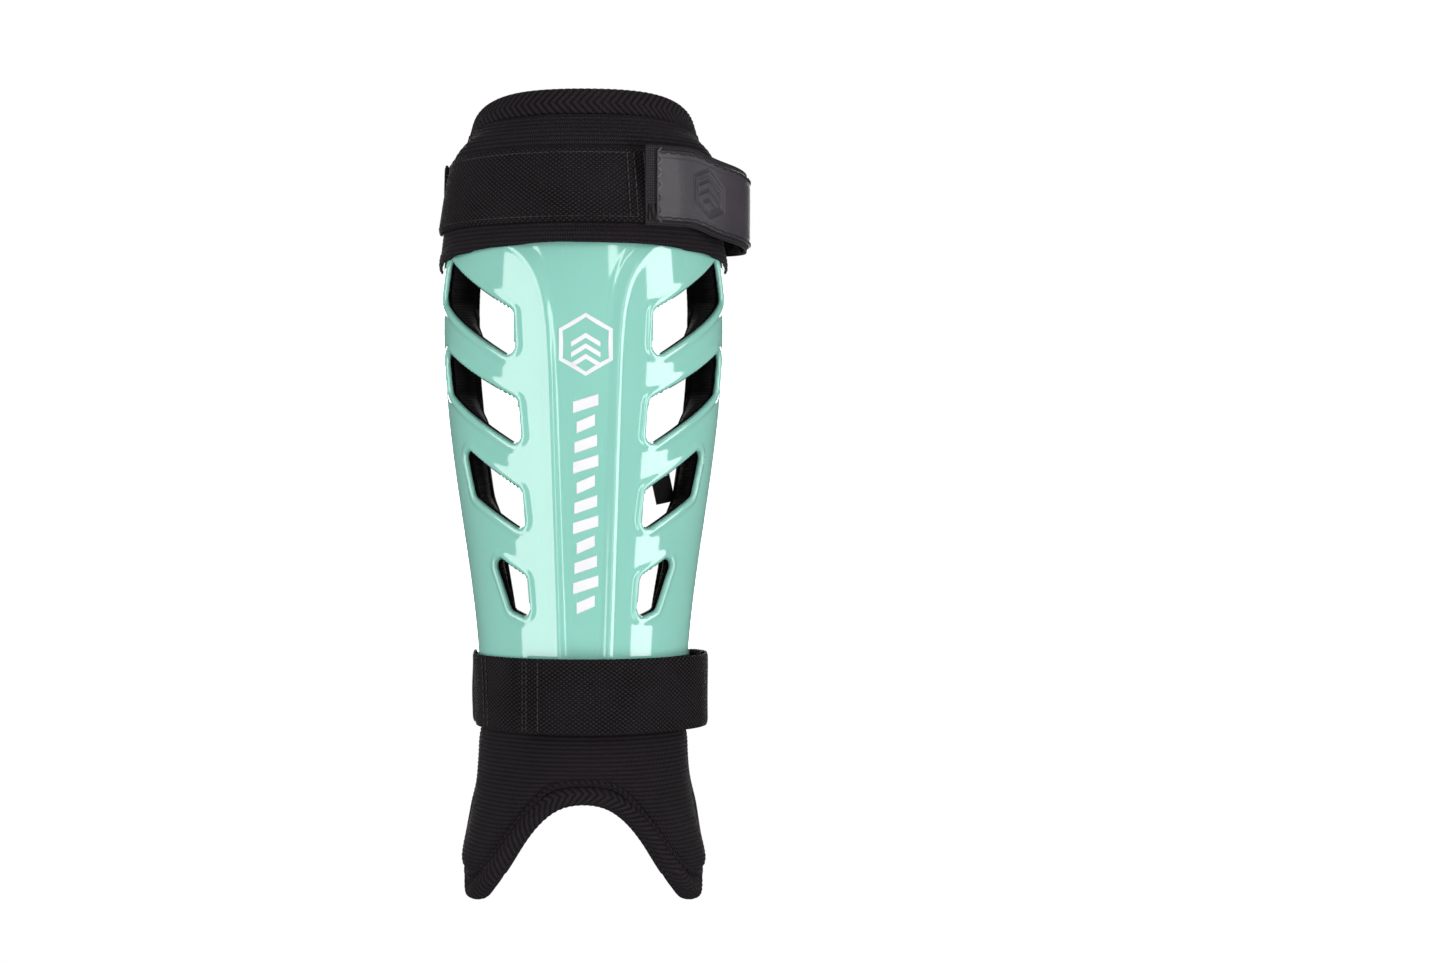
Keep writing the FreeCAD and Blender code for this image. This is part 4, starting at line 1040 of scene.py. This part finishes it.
def makeLowerStrap():
    # front elastic, rear elastic, the free end across the front, and their stitches
    low, high = strap["lowerLow"], strap["lowerLow"] + strap["width"]
    mid = (low + high) / 2
    route = onForm(np.linspace(strap["seamTurn"], strap["lowerEnd"], 30), strap["slack"], mid)
    front, *_ = elastic("lower_elastic_front", route, low, "lower_strap_front", seed=8)
    conform(front)
    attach(front, "guard")
    start = formPoint(strap["seamTurn"], mid, strap["slack"] + strap["wall"] / 2)
    route = free(strap["lowerRear"]) + [(start[0], start[1], 0.0)]
    rear, *_ = elastic("lower_elastic_rear", route, low, "lower_strap_rear", outer=-strap["wall"] / 2, seed=9,
                       count=220)
    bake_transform(rear)
    route = onForm([-33, -20, -5, 12, 30, 46], lowerEndLine, mid) + free(strap["lowerFree"]) + strap["lowerTail"]
    end, centre, across, run = elastic("lower_elastic_end", route, low, "lower_strap_end", "lower_end_tape", seed=10,
                                       relief=fold, count=300)
    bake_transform(end)
    places = []
    for at in (2.2, 4.0, 9.0):
        k = int(np.searchsorted(run, at))
        spot = centre[k] + across[k] * (strap["wall"] + 0.6)
        places.append(np.stack([np.full(11, spot[0]), np.full(11, spot[1]), np.linspace(low + 2, high - 2, 11)], -1))
    row = stitchRow("lower_end_stitches", np.concatenate(places), np.tile([0.0, 0.0, 1.0], (33, 1)), length=2.2,
                    radius=0.28)
    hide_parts("lower_end_stitching")
    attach(row, "lower_end")
    places = [formPoint(t, np.linspace(low + 2, high - 2, 10), lowerOut + 0.1) for t in (-60.0, -64.0)]
    row = stitchRow("lower_elastic_stitches", np.concatenate(places), np.tile([0.0, 0.0, 1.0], (20, 1)))
    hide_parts("lower_strap_stitching")
    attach(row, "guard")


makeTopStrap()
makeLowerStrap()
print("straps made")

# CAD nodes that keep their own shape get their finish here
kept = {"shell_hook_pads": "hooks", "liner_loop_pads": "lining", "ankle_disc_left": "plastic",
        "ankle_disc_right": "plastic", "top_tab_hook": "hooks", "lower_strap_hook": "hooks", "care_label": "label"}
for node, finish in kept.items():
    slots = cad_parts[node].data.materials
    slots.clear()
    slots.append(finishes[finish])

# Each panel is its azimuth, elevation, distance, width, height and power;
# azimuth 0 is in front, positive to the right
studio = {"cameraBack": 1.060, "cameraHigh": 0.175, "lens": 62.76, "sensor": 36.0, "shiftX": 0.0962, "fill": 0.12,
          "aim": 0.18, "floorReach": 2000.0, "floorLevel": -2.0,
          "panels": {"leftPanel": (-49.0, -4.0, 1.4, 0.85, 2.3, 23.0),
                     "rightPanel": (62.0, -4.0, 1.4, 0.62, 2.3, 22.0),
                     "thinStrip": (23.5, -2.0, 1.5, 0.20, 1.9, 4.5), "backPanel": (180.0, 8.0, 1.6, 1.5, 1.8, 34.0),
                     "overhead": (0.0, 78.0, 1.6, 1.6, 1.2, 5.0)}}


def softBox(name, azimuth, elevation, distance, width, height, power):
    # an area light that faces the guard's middle
    light = bpy.data.lights.new(name, "AREA")
    light.shape = "RECTANGLE"
    light.size, light.size_y = width, height
    light.energy = power
    obj = bpy.data.objects.new(name, light)
    bpy.context.scene.collection.objects.link(obj)
    a, e = math.radians(azimuth), math.radians(elevation)
    obj.location = (distance * math.sin(a) * math.cos(e), -distance * math.cos(a) * math.cos(e),
                    studio["aim"] + distance * math.sin(e))
    obj.rotation_euler = (math.pi / 2 - e, 0, a)


def makeStudio():
    scene = bpy.context.scene
    scene.view_settings.view_transform = "Standard"
    world = bpy.data.worlds.new("studioAir")
    world.use_nodes = True
    tree = world.node_tree
    background = tree.nodes["Background"]
    background.inputs[0].default_value = (1.0, 1.0, 1.0, 1.0)
    seen = tree.nodes.new("ShaderNodeLightPath")  # white paper all round, which lights the guard only faintly
    strength = maths(tree, "MULTIPLY_ADD", seen.outputs["Is Camera Ray"], 1.0 - studio["fill"], studio["fill"])
    tree.links.new(strength, background.inputs[1])
    scene.world = world
    for name, panel in studio["panels"].items():
        softBox(name, *panel)
    paper, tree, shader, _ = startMaterial("whitePaper")
    feedAll(tree, shader, Base_Color=(0.0, 0.0, 0.0, 1.0), Specular_IOR_Level=0.0,
            Emission_Color=(1.0, 1.0, 1.0, 1.0), Emission_Strength=1.0)
    reach = studio["floorReach"]
    corners = [(x * reach, y * reach, studio["floorLevel"]) for x, y in ((-1, -1), (1, -1), (1, 1), (-1, 1))]
    floor = makeMesh("paper_floor", corners, [(0, 1, 2, 3)], material=paper)
    floor.visible_diffuse = floor.visible_glossy = floor.visible_transmission = floor.visible_shadow = False
    camera = bpy.data.cameras.new("view")
    camera.lens = studio["lens"]
    camera.sensor_width = studio["sensor"]
    camera.shift_x = studio["shiftX"]
    obj = bpy.data.objects.new("view", camera)
    scene.collection.objects.link(obj)
    obj.location = (0.0, -studio["cameraBack"], studio["cameraHigh"])
    obj.rotation_euler = (math.pi / 2, 0.0, 0.0)
    scene.camera = obj


makeStudio()
print("studio made")
